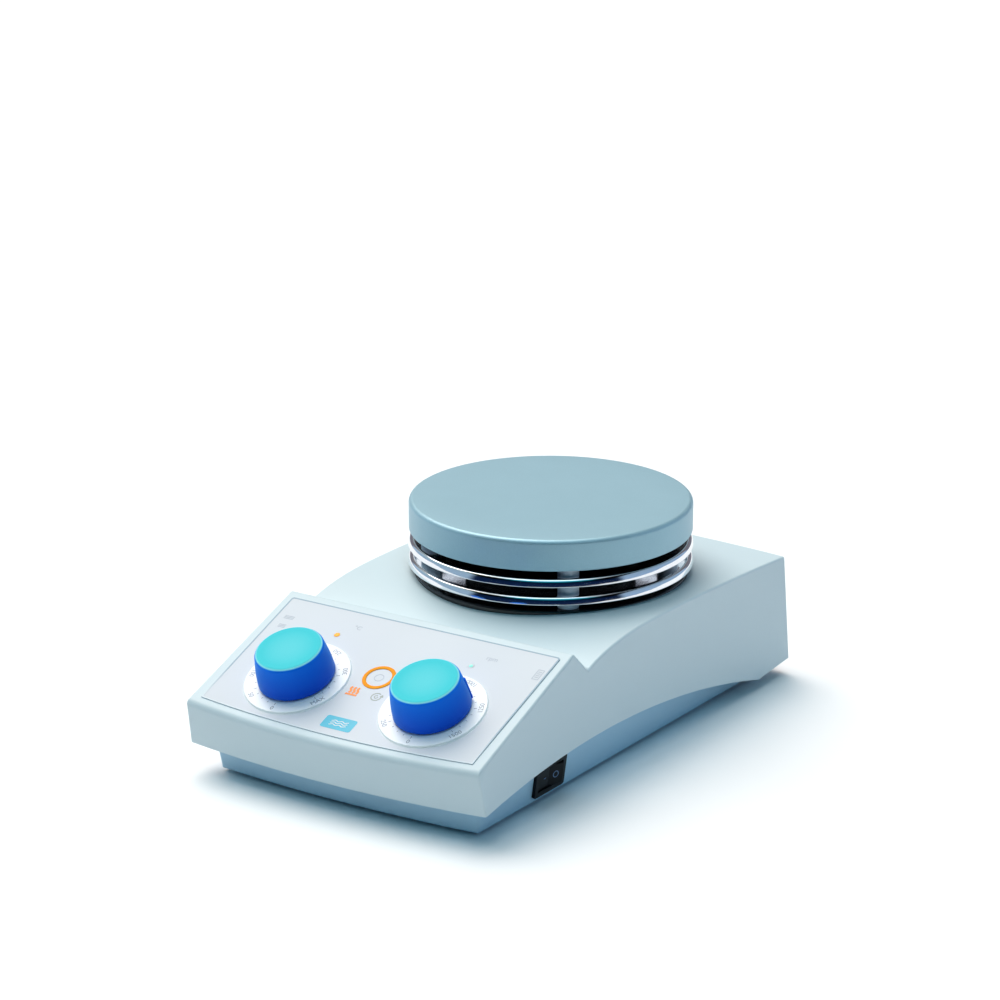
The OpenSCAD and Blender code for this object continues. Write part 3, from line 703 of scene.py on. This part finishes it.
def housing_column(u, inset, floor_line):
    """Points over the housing's skin at one share of its width, and where its edges fall in that list."""
    foot = meet(u, inset, front_face, floor_line, 10)
    chin = meet(u, inset, front_face, lambda y: panel_line(y) - inset, PANEL_Z)
    brow = meet(u, inset, rear_face, lambda y: deck_z(y) - inset, 60)
    heel = meet(u, inset, rear_face, floor_line, 9)
    points = []
    for i in range(FRONT_ROWS):
        z = foot[2] + (chin[2] - foot[2]) * i / FRONT_ROWS
        x = u * half_width(z, inset)
        points.append((x, front_face(x, z, inset), z))
    stations = [chin[1] + (PEAK_Y - chin[1]) * i / PANEL_ROWS for i in range(PANEL_ROWS + 1)]
    heights = [(y, panel_line(y)) for y in stations]
    stations = [VALLEY_Y + (CREST_Y - VALLEY_Y) * i / DECK_ROWS[0] for i in range(DECK_ROWS[0])]
    stations += [CREST_Y + (brow[1] - CREST_Y) * i / DECK_ROWS[1] for i in range(DECK_ROWS[1] + 1)]
    heights += [(y, deck_z(y)) for y in stations]
    points += [(u * half_width(z - inset, inset), y, z - inset) for y, z in heights]
    for i in range(1, REAR_ROWS + 1):
        z = brow[2] + (heel[2] - brow[2]) * i / REAR_ROWS
        x = u * half_width(z, inset)
        points.append((x, rear_face(x, z, inset), z))
    return points


CHIN = FRONT_ROWS
PEAK = CHIN + PANEL_ROWS
VALLEY = PEAK + 1
BROW = VALLEY + sum(DECK_ROWS)
COLUMNS = 26
RIM_STATIONS = 44


def housing_form(name, inset, arched, rounding):
    """The housing's outer form, inset by some millimetres; rounding gives each kind of edge its radius."""
    floor_line = lower_edge if arched else (lambda y: UNDERSIDE)
    bm = bmesh.new()
    weight = bm.edges.layers.float.new("bevel_weight_edge")
    shares = [-1 + 2 * i / COLUMNS for i in range(COLUMNS + 1)]
    grid = [[bm.verts.new(p) for p in housing_column(u, inset, floor_line)] for u in shares]
    for left, right in zip(grid, grid[1:]):
        for i in range(len(left) - 1):
            bm.faces.new([left[i], right[i], right[i + 1], left[i + 1]])
    rims = []
    for column, side in ((grid[0], -1), (grid[-1], 1)):
        start, end = column[0].co.y, column[-1].co.y
        stations = [start + (end - start) * i / RIM_STATIONS for i in range(1, RIM_STATIONS)]
        rim = [bm.verts.new((side * half_width(floor_line(y), inset), y, floor_line(y))) for y in stations]
        bm.faces.new(column + rim[::-1])
        rims.append(rim)
    for i in range(RIM_STATIONS - 2):
        bm.faces.new([rims[0][i], rims[0][i + 1], rims[1][i + 1], rims[1][i]])
    bm.faces.new([c[0] for c in grid] + [rims[1][0], rims[0][0]])
    bm.faces.new([c[-1] for c in grid] + [rims[1][-1], rims[0][-1]])

    def mark(a, b, radius):
        edge = bm.edges.get((a, b))
        edge[weight] = radius / max(rounding.values())

    if rounding:
        for column in (grid[0], grid[-1]):
            for i in range(len(column) - 1):
                kind = "front" if i < CHIN else "rear" if i >= BROW else "side"
                mark(column[i], column[i + 1], rounding[kind])
        for left, right in zip(grid, grid[1:]):
            for row, kind in ((CHIN, "chin"), (PEAK, "peak"), (VALLEY, "valley"), (BROW, "brow")):
                mark(left[row], right[row], rounding[kind])
    piece = new_piece(name, bm)
    if rounding:
        round_edges(piece, max(rounding.values()), 5)
    return piece


def deck_normal(y):
    step = 0.5
    return Vector((0, deck_z(y - step) - deck_z(y + step), 2 * step)).normalized()


def even_deck(piece):
    """Gives the deck's skin the normals of its curve, so that the holes in it leave no streaks."""
    from_valley, off_curve, same_way = 2, 0.5, 0.998
    mesh = piece.data
    normals = [tuple(corner.vector) for corner in mesh.corner_normals]
    for face in mesh.polygons:
        y, z = face.center.y / MM, face.center.z / MM
        if y < VALLEY_Y + from_valley or abs(z - deck_z(y)) > off_curve:
            continue
        if face.normal.dot(deck_normal(y)) < same_way:
            continue
        for corner in face.loop_indices:
            place = mesh.vertices[mesh.loops[corner].vertex_index].co.y / MM
            normals[corner] = tuple(deck_normal(place))
    mesh.normals_split_custom_set(normals)


def housing_hollow():
    """The room inside, without the walls, the well under the stack, the bosses and the rear seat."""
    well_top, socket_r, socket_floor = BASE_FLOOR + 12, 11, 34
    seat_half, seat_low, behind = 52, 14, 160
    hollow = housing_form("hollow", WALL, False, {})
    kept = bmesh.new()
    rod(kept, BASE_R + WALL, BASE_FLOOR - WALL, well_top, PLATE_AXIS, 96)
    for x, y in BOSSES:
        rod(kept, BOSS_R, FLANGE_TOP, ABOVE, move(x, y))
    rod(kept, socket_r, socket_floor, ABOVE, move(ROD_X, ROD_Y))
    box(kept, (-seat_half, INLET_SEAT - WALL, seat_low), (seat_half, behind, ABOVE))
    cut(hollow, new_piece("kept", kept), overlapping=True)
    return hollow


def housing_holes():
    """Everything that opens the housing's skin, for the stack, knobs, lamps, screws and sockets."""
    shaft_r, lamp_r, inlet_screw_r, inlet_screw_x, boss_bore_r, rod_r = 3.6, 1.6, 1.5, 20, 1.6, 7.5
    face_w, face_h, body_w, body_h = 25.2, 16.2, 14.4, 14.9
    probe_r, probe_recess_r, ledge, behind = 8.1, 11, 4, 160
    base_gap, stud_gap = 0.2, 0.3
    holes = bmesh.new()
    rod(holes, BASE_R + base_gap, BASE_FLOOR, ABOVE, PLATE_AXIS, 128)
    rod(holes, BASE_R + WALL - ledge, 30, BASE_FLOOR - WALL, PLATE_AXIS, 96)
    rod(holes, BORE_R, BASE_FLOOR - 5, BASE_FLOOR + 1, PLATE_AXIS, 96)
    for x, y in POSTS:
        rod(holes, STUD_R + stud_gap, 40, 62, PLATE_AXIS @ move(x, y))
    for side in (-1, 1):
        rod(holes, shaft_r, -10, 10, PANEL @ move(side * KNOB_X, KNOB_S))
        rod(holes, lamp_r, -10, 10, PANEL @ move(side * LED_X, LED_S))
        seat = move(INLET_X + side * inlet_screw_x, INLET_SEAT, INLET_Z) @ turn(-90, "X")
        rod(holes, inlet_screw_r, -10, 20, seat)
    for x, y in BOSSES:
        rod(holes, boss_bore_r, 0, 44, move(x, y))
    rod(holes, rod_r, 30, ABOVE, move(ROD_X, ROD_Y), 64)
    for w, h, inner, outer in ((face_w, face_h, INLET_SEAT, behind), (body_w, body_h, INLET_SEAT - 10, 150)):
        box(holes, (INLET_X - w, inner, INLET_Z - h), (INLET_X + w, outer, INLET_Z + h))
    socket = move(PROBE_X, INLET_SEAT, PROBE_Z) @ turn(-90, "X")
    rod(holes, probe_r, -20, 10, socket, 64)
    rod(holes, probe_recess_r, 0, 20, socket, 64)
    return holes


def make_housing(materials):
    rounding = {"front": 1.0, "side": 1.1, "rear": 1.0, "chin": 2.8, "peak": 1.2, "valley": 1.8, "brow": 1.3}
    shell = housing_form("housing_shell", 0, True, rounding)
    cut(shell, housing_hollow())
    cut(shell, new_piece("holes", housing_holes()), overlapping=True)
    shell.data.materials.append(materials["housing_plastic"])
    finish_piece(shell, "base", "housing_plastic", "upper_housing", weighted=True)
    even_deck(shell)


# ---------------- tray

def block(bm, levels, front, rear, half, columns=24):
    """Adds a block with curved ends: levels are heights, and front, rear and half give its faces there."""
    weight = bm.edges.layers.float.new("bevel_weight_edge")
    shares = [-1 + 2 * i / columns for i in range(columns + 1)]
    rim_weight, corner_weight = 0.3, 1.0
    loops = []
    for z in levels:
        loop = [bm.verts.new((u * half(z), front(u * half(z), z), z)) for u in shares]
        loop += [bm.verts.new((u * half(z), rear(u * half(z), z), z)) for u in reversed(shares)]
        loops.append(loop)
    bm.faces.new(loops[0])
    bm.faces.new(loops[-1])
    corners = (0, columns, columns + 1, 2 * columns + 1)
    for low, high in zip(loops, loops[1:]):
        for i in range(len(low)):
            j = (i + 1) % len(low)
            bm.faces.new([low[i], low[j], high[j], high[i]])
        for i in corners:
            bm.edges.get((low[i], high[i]))[weight] = corner_weight
    for i in range(len(loops[0])):
        bm.edges.get((loops[0][i], loops[0][(i + 1) % len(loops[0])]))[weight] = rim_weight


def tray_block(name, inset, low, high, rounding):
    bm = bmesh.new()
    levels = [low, (low + high) / 2, high]
    block(bm, levels,
          lambda x, z: front_drum(x, z, TRAY_FRONT + inset, FOOT_H, FRONT_R, TRAY_LEAN),
          lambda x, z: rear_drum(x, z, TRAY_REAR - inset, FOOT_H, REAR_R, -TRAY_LEAN),
          lambda z: TRAY_W / 2 - inset + (z - FOOT_H) * math.tan(rad(TRAY_LEAN)))
    piece = new_piece(name, bm)
    round_edges(piece, rounding)
    return piece


def flange_plate():
    bm = bmesh.new()
    gap = 0.3
    inset = WALL + gap
    block(bm, [FLANGE_TOP - FLANGE_T, FLANGE_TOP], lambda x, z: front_face(x, z, inset),
          lambda x, z: min(rear_face(x, z, inset), INLET_SEAT - WALL - gap), lambda z: half_width(z, inset))
    return new_piece("flange", bm)


def tray_holes():
    """Screw bores with their head recesses, foot pegs, vent slots, and the switch and inlet openings."""
    bore_r, head_r, head_t, peg_r, below = 1.9, 4, 4.4, 3, -1
    vent_r, vent_pitch, vent_half = 1.5, 8, 21.5
    switch_w, switch_l, inlet_w, inlet_h = 6.4, 10.6, 15, 15.3
    holes = bmesh.new()
    for x, y in BOSSES:
        rod(holes, bore_r, below, 60, move(x, y))
        rod(holes, head_r, below, FOOT_H + head_t, move(x, y))
    for x, y in FEET:
        rod(holes, peg_r, below, 20, move(x, y))
    for i in range(-5, 6):
        slot = ring_points(vent_r, 0, 180, 10, (i * vent_pitch, PLATE_Y + vent_half))
        slot += ring_points(vent_r, 180, 360, 10, (i * vent_pitch, PLATE_Y - vent_half))
        prism(holes, slot, below, 19)
    box(holes, (-switch_w, -switch_l, -14), (switch_w, switch_l, 16), SWITCH)
    box(holes, (INLET_X - inlet_w, 110, INLET_Z - inlet_h), (INLET_X + inlet_w, 150, 80))
    return holes


def make_tray(materials):
    tray = tray_block("tray_shell", 0, FOOT_H, TRAY_TOP, 2.4)
    cut(tray, flange_plate(), "UNION")
    hollow = tray_block("tray_hollow", TRAY_T, FOOT_H + TRAY_T, 60, 1.5)
    kept = bmesh.new()
    for x, y in BOSSES:
        rod(kept, BOSS_R, -5, 70, move(x, y))
    cut(hollow, new_piece("kept", kept))
    cut(tray, hollow)
    cut(tray, new_piece("holes", tray_holes()), overlapping=True)
    tray.data.materials.append(materials["tray_plastic"])
    finish_piece(tray, "base", "tray_plastic", "base_tray", weighted=True)


# ---------------- plate and stack

def make_plate(materials):
    """The cast plate with its element recess, and a thin dark sheet on the rim of its underside: painted
    shade for the gap between the plate and the rings.
    """
    edge, foot, recess_r, recess_t = 2.2, 0.8, 42, 7
    shade_sheet_in, shade_sheet_out, shade_sheet_t = 42.4, 66.2, 0.08
    under = PLATE_Z - PLATE_T
    profile = [(0, under + recess_t), (recess_r, under + recess_t), (recess_r, under)]
    profile.append((PLATE_R - foot, under))
    profile += arc(PLATE_R - foot, under + foot, foot, -90, 0, 4)[1:]
    profile += arc(PLATE_R - edge, PLATE_Z - edge, edge, 0, 90, 10)
    profile += [(PLATE_R * share, PLATE_Z) for share in (0.75, 0.5, 0.25, 0)]
    turned_piece("heating_plate_body", profile, PLATE_AXIS, 256, materials["plate_ceramic"],
                 "plate_ceramic", "heating_plate", smooth_angle=40)
    # painted shade: a black sheet 0.08 mm thick under the plate's rim, standing in for the shade in the gap
    # above the rings
    shade_sheet = [(shade_sheet_in, under), (shade_sheet_out, under), (shade_sheet_out, under - shade_sheet_t), (shade_sheet_in, under - shade_sheet_t)]
    turned_piece("heating_plate_underside", shade_sheet, PLATE_AXIS, 192, materials["stack_black"], "element_metal")


def make_rings(materials):
    """Thin polished discs turned down round their edges: a soft roll above a short band that leans in."""
    roll, hem, tilt, inside = 2.3, 0.35, 13, 0.9
    bore = SHROUD_R + 0.3
    lean = math.tan(rad(tilt))
    for name, top in RING_TOPS.items():
        low = top - RING_H + hem
        rise = top - roll - low
        middle = RING_R - hem - rise * lean
        profile = [(bore, top - RING_SHEET), (middle - roll + 0.4, top - RING_SHEET)]
        profile += [(middle - inside, top - roll), (RING_R - hem - inside, low)]
        profile += arc(RING_R - hem, low, hem, 180, 360 + tilt, 12)
        profile += arc(middle - roll + hem, top - roll, roll, tilt, 90, 14)
        profile += [(middle - roll + hem - 0.15, top), (middle - roll - 1, top), (bore, top)]
        turned_piece(name + "_sheet", profile, PLATE_AXIS, 288, materials["polished_ring"],
                     "polished_ring", name, smooth_angle=50)


def make_stack_base(materials):
    lip = 1.2
    profile = [(BORE_R, BASE_FLOOR), (BASE_R, BASE_FLOOR)]
    profile += arc(BASE_R - lip, BASE_TOP - lip, lip, 0, 90, 8)
    profile += [(BASE_R - 4, BASE_TOP), (BORE_R, BASE_TOP)]
    turned_piece("stack_base_ring", profile, PLATE_AXIS, 192, materials["stack_black"],
                 "black_plastic", "stack_base", smooth_angle=40)


# ---------------- control panel

def overlay_outline(inset, steps=24):
    """The film's outline: straight sides, rounded top corners, and the panel's curved front edge below."""
    half, low, high, r = 74.2 - inset, 4.4 + inset, 79.8 - inset, 1.4 - inset * 0.5
    bulge = 4
    xs = [-half + 2 * half * i / steps for i in range(steps + 1)]
    points = [(x, low - bulge + FRONT_R - math.sqrt(FRONT_R ** 2 - x * x)) for x in xs]
    points += arc(half - r, high - r, r, 0, 90, 6)
    points += arc(-half + r, high - r, r, 90, 180, 6)
    return points


def print_piece(name, bm, material, slot="overlay_film"):
    finish_piece(new_piece(name, bm, material), "base", slot)


def make_border(materials):
    bm = bmesh.new()
    outer, inner = 0.05, 0.75
    strip(bm, overlay_outline(outer), overlay_outline(inner), OVERLAY_T, OVERLAY_T + PRINT_T, PANEL)
    print_piece("panel_border_line", bm, materials["line_grey"])


# Each dial: its place across the panel, degrees from one label to the next, the labels, and the last one
DIALS = {
    "temperature": (-KNOB_X, -41, ["0", "50", "100", "150", "200", "250", "300"], "MAX"),
    "speed": (KNOB_X, -50.6, ["0", "250", "500", "750", "1000", "1250"], "1500"),
}
DIAL_ZERO, DIAL_LAST, DIAL_SWEEP, DIAL_TICKS = -87, -31, -304, 24


def make_dial_print(name, materials):
    """Numbers and tick marks round a dial; every fourth tick is longer."""
    x, step, labels, last_label = DIALS[name]
    number_r, number_h, tick_from, tick_to, long_to, tick_half = 22.5, 2.3, 18.9, 19.8, 20.4, 0.13
    face = OVERLAY_T + DIAL_T
    bm = bmesh.new()
    centre = PANEL @ move(x, KNOB_S)
    marks = [(DIAL_ZERO + step * i, text) for i, text in enumerate(labels)] + [(DIAL_LAST, last_label)]
    for angle, text in marks:
        spot = centre @ turn(angle, "Z") @ move(number_r) @ turn(90, "Z")
        lettering(bm, text, number_h, face, NUMBER_T, spot)
    for i in range(DIAL_TICKS + 1):
        end = tick_to if i % 4 else long_to
        at = centre @ turn(DIAL_ZERO + DIAL_SWEEP * i / DIAL_TICKS, "Z")
        box(bm, (tick_from, -tick_half, face), (end, tick_half, face + NUMBER_T), at)
    piece = new_piece(f"{name}_dial_marks", bm, materials["number_grey"])
    finish_piece(piece, "base", "dial_white")


def wave_line(x, low, high, swing, steps=12):
    return [(x + swing * math.sin(math.tau * i / steps), low + (high - low) * i / steps)
            for i in range(steps + 1)]


def make_heat_icon(materials, low, high):
    """Three rising waves over a bar."""
    bm = bmesh.new()
    at = PANEL @ move(-6.2, 30.1)
    for x in (-1.9, 0, 1.9):
        stroke(bm, wave_line(x, -1.4, 2.7, 0.45), 1.25, low, high, at)
    box(bm, (-3.1, -2.9, low), (3.1, -1.8, high), at)
    print_piece("heat_icon", bm, materials["icon_orange"], "signal_orange")


def make_stir_icon(materials, low, high):
    """A turning arrow round a small ring."""
    bm = bmesh.new()
    at = PANEL @ move(6.3, 29.9)
    stroke(bm, ring_points(2.4, 60, 370, 30), 0.5, low, high, at)
    prism(bm, [(3.5, 0.5), (1.4, 0.5), (2.5, 2.1)], low, high, at)
    stroke(bm, ring_points(0.9, 60, 370, 16), 0.4, low, high, at)
    print_piece("stir_icon", bm, materials["icon_green"])


def make_badge(materials, low, high):
    """A plain rounded panel with three waves."""
    corner, half_w, half_h, wave_t = 1.2, 8.2, 4.0, 0.03
    at = PANEL @ move(0, 8.6)
    outline = []
    for quarter, (sx, sy) in enumerate(((1, 1), (-1, 1), (-1, -1), (1, -1))):
        centre = (sx * (half_w - corner), sy * (half_h - corner))
        outline += ring_points(corner, 90 * quarter, 90 * quarter + 90, 5, centre)
    bm = bmesh.new()
    prism(bm, outline, low, high, at)
    print_piece("plain_badge", bm, materials["badge_cyan"])
    waves = bmesh.new()
    for s in (-1.3, 0.0, 1.3):
        line = [(x / 2, s + 0.35 * math.sin(x * 0.9)) for x in range(-9, 10)]
        stroke(waves, line, 0.42, high, high + wave_t, at)
    print_piece("plain_badge_waves", waves, materials["mark_white"])


def make_faint_print(materials, low, high):
    """The palest print: units, two groups of bars, a framed grid, and a circle in the hot-plate ring."""
    unit_h, unit_s, bars_x, grid = 2.6, 69.4, -67, PANEL @ move(70.3, 66.3)
    bm = bmesh.new()
    lettering(bm, "°C", unit_h, low, NUMBER_T, PANEL @ move(-30, unit_s))
    lettering(bm, "rpm", unit_h, low, NUMBER_T, PANEL @ move(44, unit_s))
    for s, wide in ((66.2, 2.6), (60.0, 1.9)):
        for row in (-0.9, 0, 0.9):
            box(bm, (bars_x - wide, s + row - 0.2, low), (bars_x + wide, s + row + 0.2, high), PANEL)
    outer, inner = ([(-w, -h), (w, -h), (w, h), (-w, h)] for w, h in ((1.7, 3.4), (1.35, 3.05)))
    strip(bm, outer, inner, low, high, grid)
    for s in (-1.8, -0.6, 0.6, 1.8):
        box(bm, (-0.9, s - 0.25, low), (0.9, s + 0.25, high), grid)
    outer, inner = (ring_points(r, 0, 345, 24) for r in (2.4, 2.0))
    strip(bm, outer, inner, low, high, PANEL @ move(0, RING_S))
    print_piece("faint_print", bm, materials["faint_grey"])


def make_hot_ring(materials):
    """The orange ring that warns of a hot plate: a raised band with rounded shoulders."""
    out_r, in_r, top, shoulder = 7.9, 6.0, OVERLAY_T + 0.3, 0.25
    profile = [(in_r, 0), (out_r, 0)]
    profile += arc(out_r - shoulder, top - shoulder, shoulder, 0, 90, 4)
    profile += arc(in_r + shoulder, top - shoulder, shoulder, 90, 180, 4)
    turned_piece("hot_ring_band", profile, PANEL @ move(0, RING_S), 96, materials["ring_orange"],
                 "signal_orange", "hot_surface_ring", smooth_angle=50)


def make_led(name, x, lens_r, slot, materials):
    """A domed lens in a pale bezel flush with the film."""
    bezel_r, proud, lens_foot, bezel_foot, bezel_top = 1.5, 0.35, -8, -3, OVERLAY_T + 0.05
    axis = PANEL @ move(x, LED_S)
    dome = arc(0, OVERLAY_T, 1, 0, 90, 8)
    profile = [(0, lens_foot), (lens_r, lens_foot)]
    profile += [(r * lens_r, OVERLAY_T + (z - OVERLAY_T) * proud) for r, z in dome]
    turned_piece(f"{name}_lens", profile, axis, 48, materials[slot], slot, name, smooth_angle=50)
    bezel = [(lens_r, bezel_foot), (bezel_r, bezel_foot), (bezel_r, bezel_top), (lens_r, bezel_top)]
    turned_piece(f"{name}_bezel", bezel, axis, 48, materials["overlay_film"], "overlay_film")


def knob_profile(crown):
    """Half the knob's section: hub, hollow skirt, barrel-sided flank, soft rim, slightly dished crown."""
    shell, belly, hub_r, bore_r, chamfer, dish, sunk = 2.2, 0.35, 8, 6.4, 0.6, 0.12, 0.02
    profile = [(bore_r, 5), (bore_r, KNOB_FOOT), (hub_r, KNOB_FOOT), (hub_r, KNOB_H - 3.6),
               (KNOB_TOP_R - shell, KNOB_H - 4.4), (KNOB_R - shell, KNOB_FOOT), (KNOB_R - chamfer, KNOB_FOOT)]
    steps = 8
    for i in range(steps + 1):
        share = i / steps
        z = KNOB_FOOT + chamfer + (KNOB_H - crown - KNOB_FOOT - chamfer) * share
        r = KNOB_R + (KNOB_TOP_R - KNOB_R) * share + belly * math.sin(math.pi * share) - sunk
        profile.append((r, z))
    profile += arc(KNOB_TOP_R - crown, KNOB_H - crown, crown, 8, 90, 8)
    profile += [(KNOB_TOP_R * share, KNOB_H - dish * (1 - share ** 2)) for share in (0.8, 0.6, 0.4, 0.2, 0)]
    return profile + [(0, 13.2), (3, 13), (3, 5)]


def make_knob(name, body, x, pointer, materials):
    """A knob with one raised pointer rib down its flank."""
    crown, rib_half, rib_out, rib_sunk, rib_short = 2.2, 0.9, 2.1, 1.4, 2.6
    axis = PANEL @ move(x, KNOB_S)
    bm = bmesh.new()
    lathe(bm, knob_profile(crown), axis, 144)
    knob = new_piece(f"{name}_knob_body", bm, materials["knob_blue"])
    rib = bmesh.new()
    weight = rib.edges.layers.float.new("bevel_weight_edge")
    lean = math.degrees(math.atan((KNOB_R - KNOB_TOP_R) / (KNOB_H - KNOB_FOOT)))
    at = axis @ turn(pointer, "Z") @ move(KNOB_R - rib_sunk, 0, KNOB_FOOT + 0.4) @ turn(-lean, "Y")
    box(rib, (0, -rib_half, 0), (rib_out, rib_half, KNOB_H - KNOB_FOOT - crown - rib_short), at)
    for edge in rib.edges:
        edge[weight] = 1
    ridge = new_piece("ridge", rib)
    round_edges(ridge, 0.5, 3)
    cut(knob, ridge, "UNION")
    finish_piece(knob, body, "knob_blue", f"{name}_knob", smooth_angle=42, weighted=True)


# ---------------- carried-over CAD parts

def dress(materials):
    """Gives every CAD node the finish of its slot in the record, and the spacers their own."""
    for part in frame["record"]["subparts"]:
        node = part["node"]
        mesh = cad[node].data
        mesh.materials.clear()
        mesh.materials.append(materials["spacer_grey" if node in SPACERS else part["material_slot"]])


SOFTENED = {"switch_frame": 0.3, "inlet_housing": 0.3, "rod_socket": 0.3, "rubber_feet": 0.4}
WELD = 0.002


def soften(node, width_mm, smooth_angle=32):
    """Breaks the sharp edges of a CAD node that stays, by modifiers only."""
    piece = cad[node]
    weld = piece.modifiers.new("weld", "WELD")
    weld.merge_threshold = WELD * MM
    bevel = piece.modifiers.new("round", "BEVEL")
    bevel.limit_method, bevel.angle_limit = "ANGLE", rad(smooth_angle)
    bevel.width, bevel.segments = width_mm * MM, 2
    normals = piece.modifiers.new("even_normals", "WEIGHTED_NORMAL")
    normals.keep_sharp = False


def make_rocker_marks(materials):
    """A dash and a circle on the rocker's two slopes."""
    slope = math.degrees(math.atan2(1.2, 8.4))
    height, dash_half_w, dash_half_l = 3.8, 0.25, 0.9
    front = ROCKER @ move(0, -3.4, height) @ turn(-slope, "X")
    rear = ROCKER @ move(0, 4.2, height) @ turn(slope, "X")
    bm = bmesh.new()
    box(bm, (-dash_half_w, -dash_half_l, 0), (dash_half_w, dash_half_l, NUMBER_T), front)
    outer, inner = (ring_points(r, 0, 352.5, 47) for r in (1.7, 1.25))
    strip(bm, outer, inner, 0, NUMBER_T, rear)
    marks = new_piece("rocker_marks", bm, materials["mark_dim"])
    finish_piece(marks, "power_rocker", "black_plastic")


make_camera()
scene.view_settings.view_transform = "Standard"
make_world()
make_light()
make_floor()
materials = build_materials()
dress(materials)
for node, width in SOFTENED.items():
    soften(node, width)
make_housing(materials)
make_tray(materials)
make_plate(materials)
make_rings(materials)
make_stack_base(materials)
make_border(materials)
for make_print in (make_heat_icon, make_stir_icon, make_badge, make_faint_print):
    make_print(materials, OVERLAY_T, OVERLAY_T + PRINT_T)
make_hot_ring(materials)
make_led("temperature_led", -LED_X, 1.4, "signal_orange", materials)
make_led("speed_led", LED_X, 0.95, "signal_green", materials)
for control, (across, *_) in DIALS.items():
    make_dial_print(control, materials)
    make_knob(control, f"{control}_control", across, POINTERS[control], materials)
make_rocker_marks(materials)
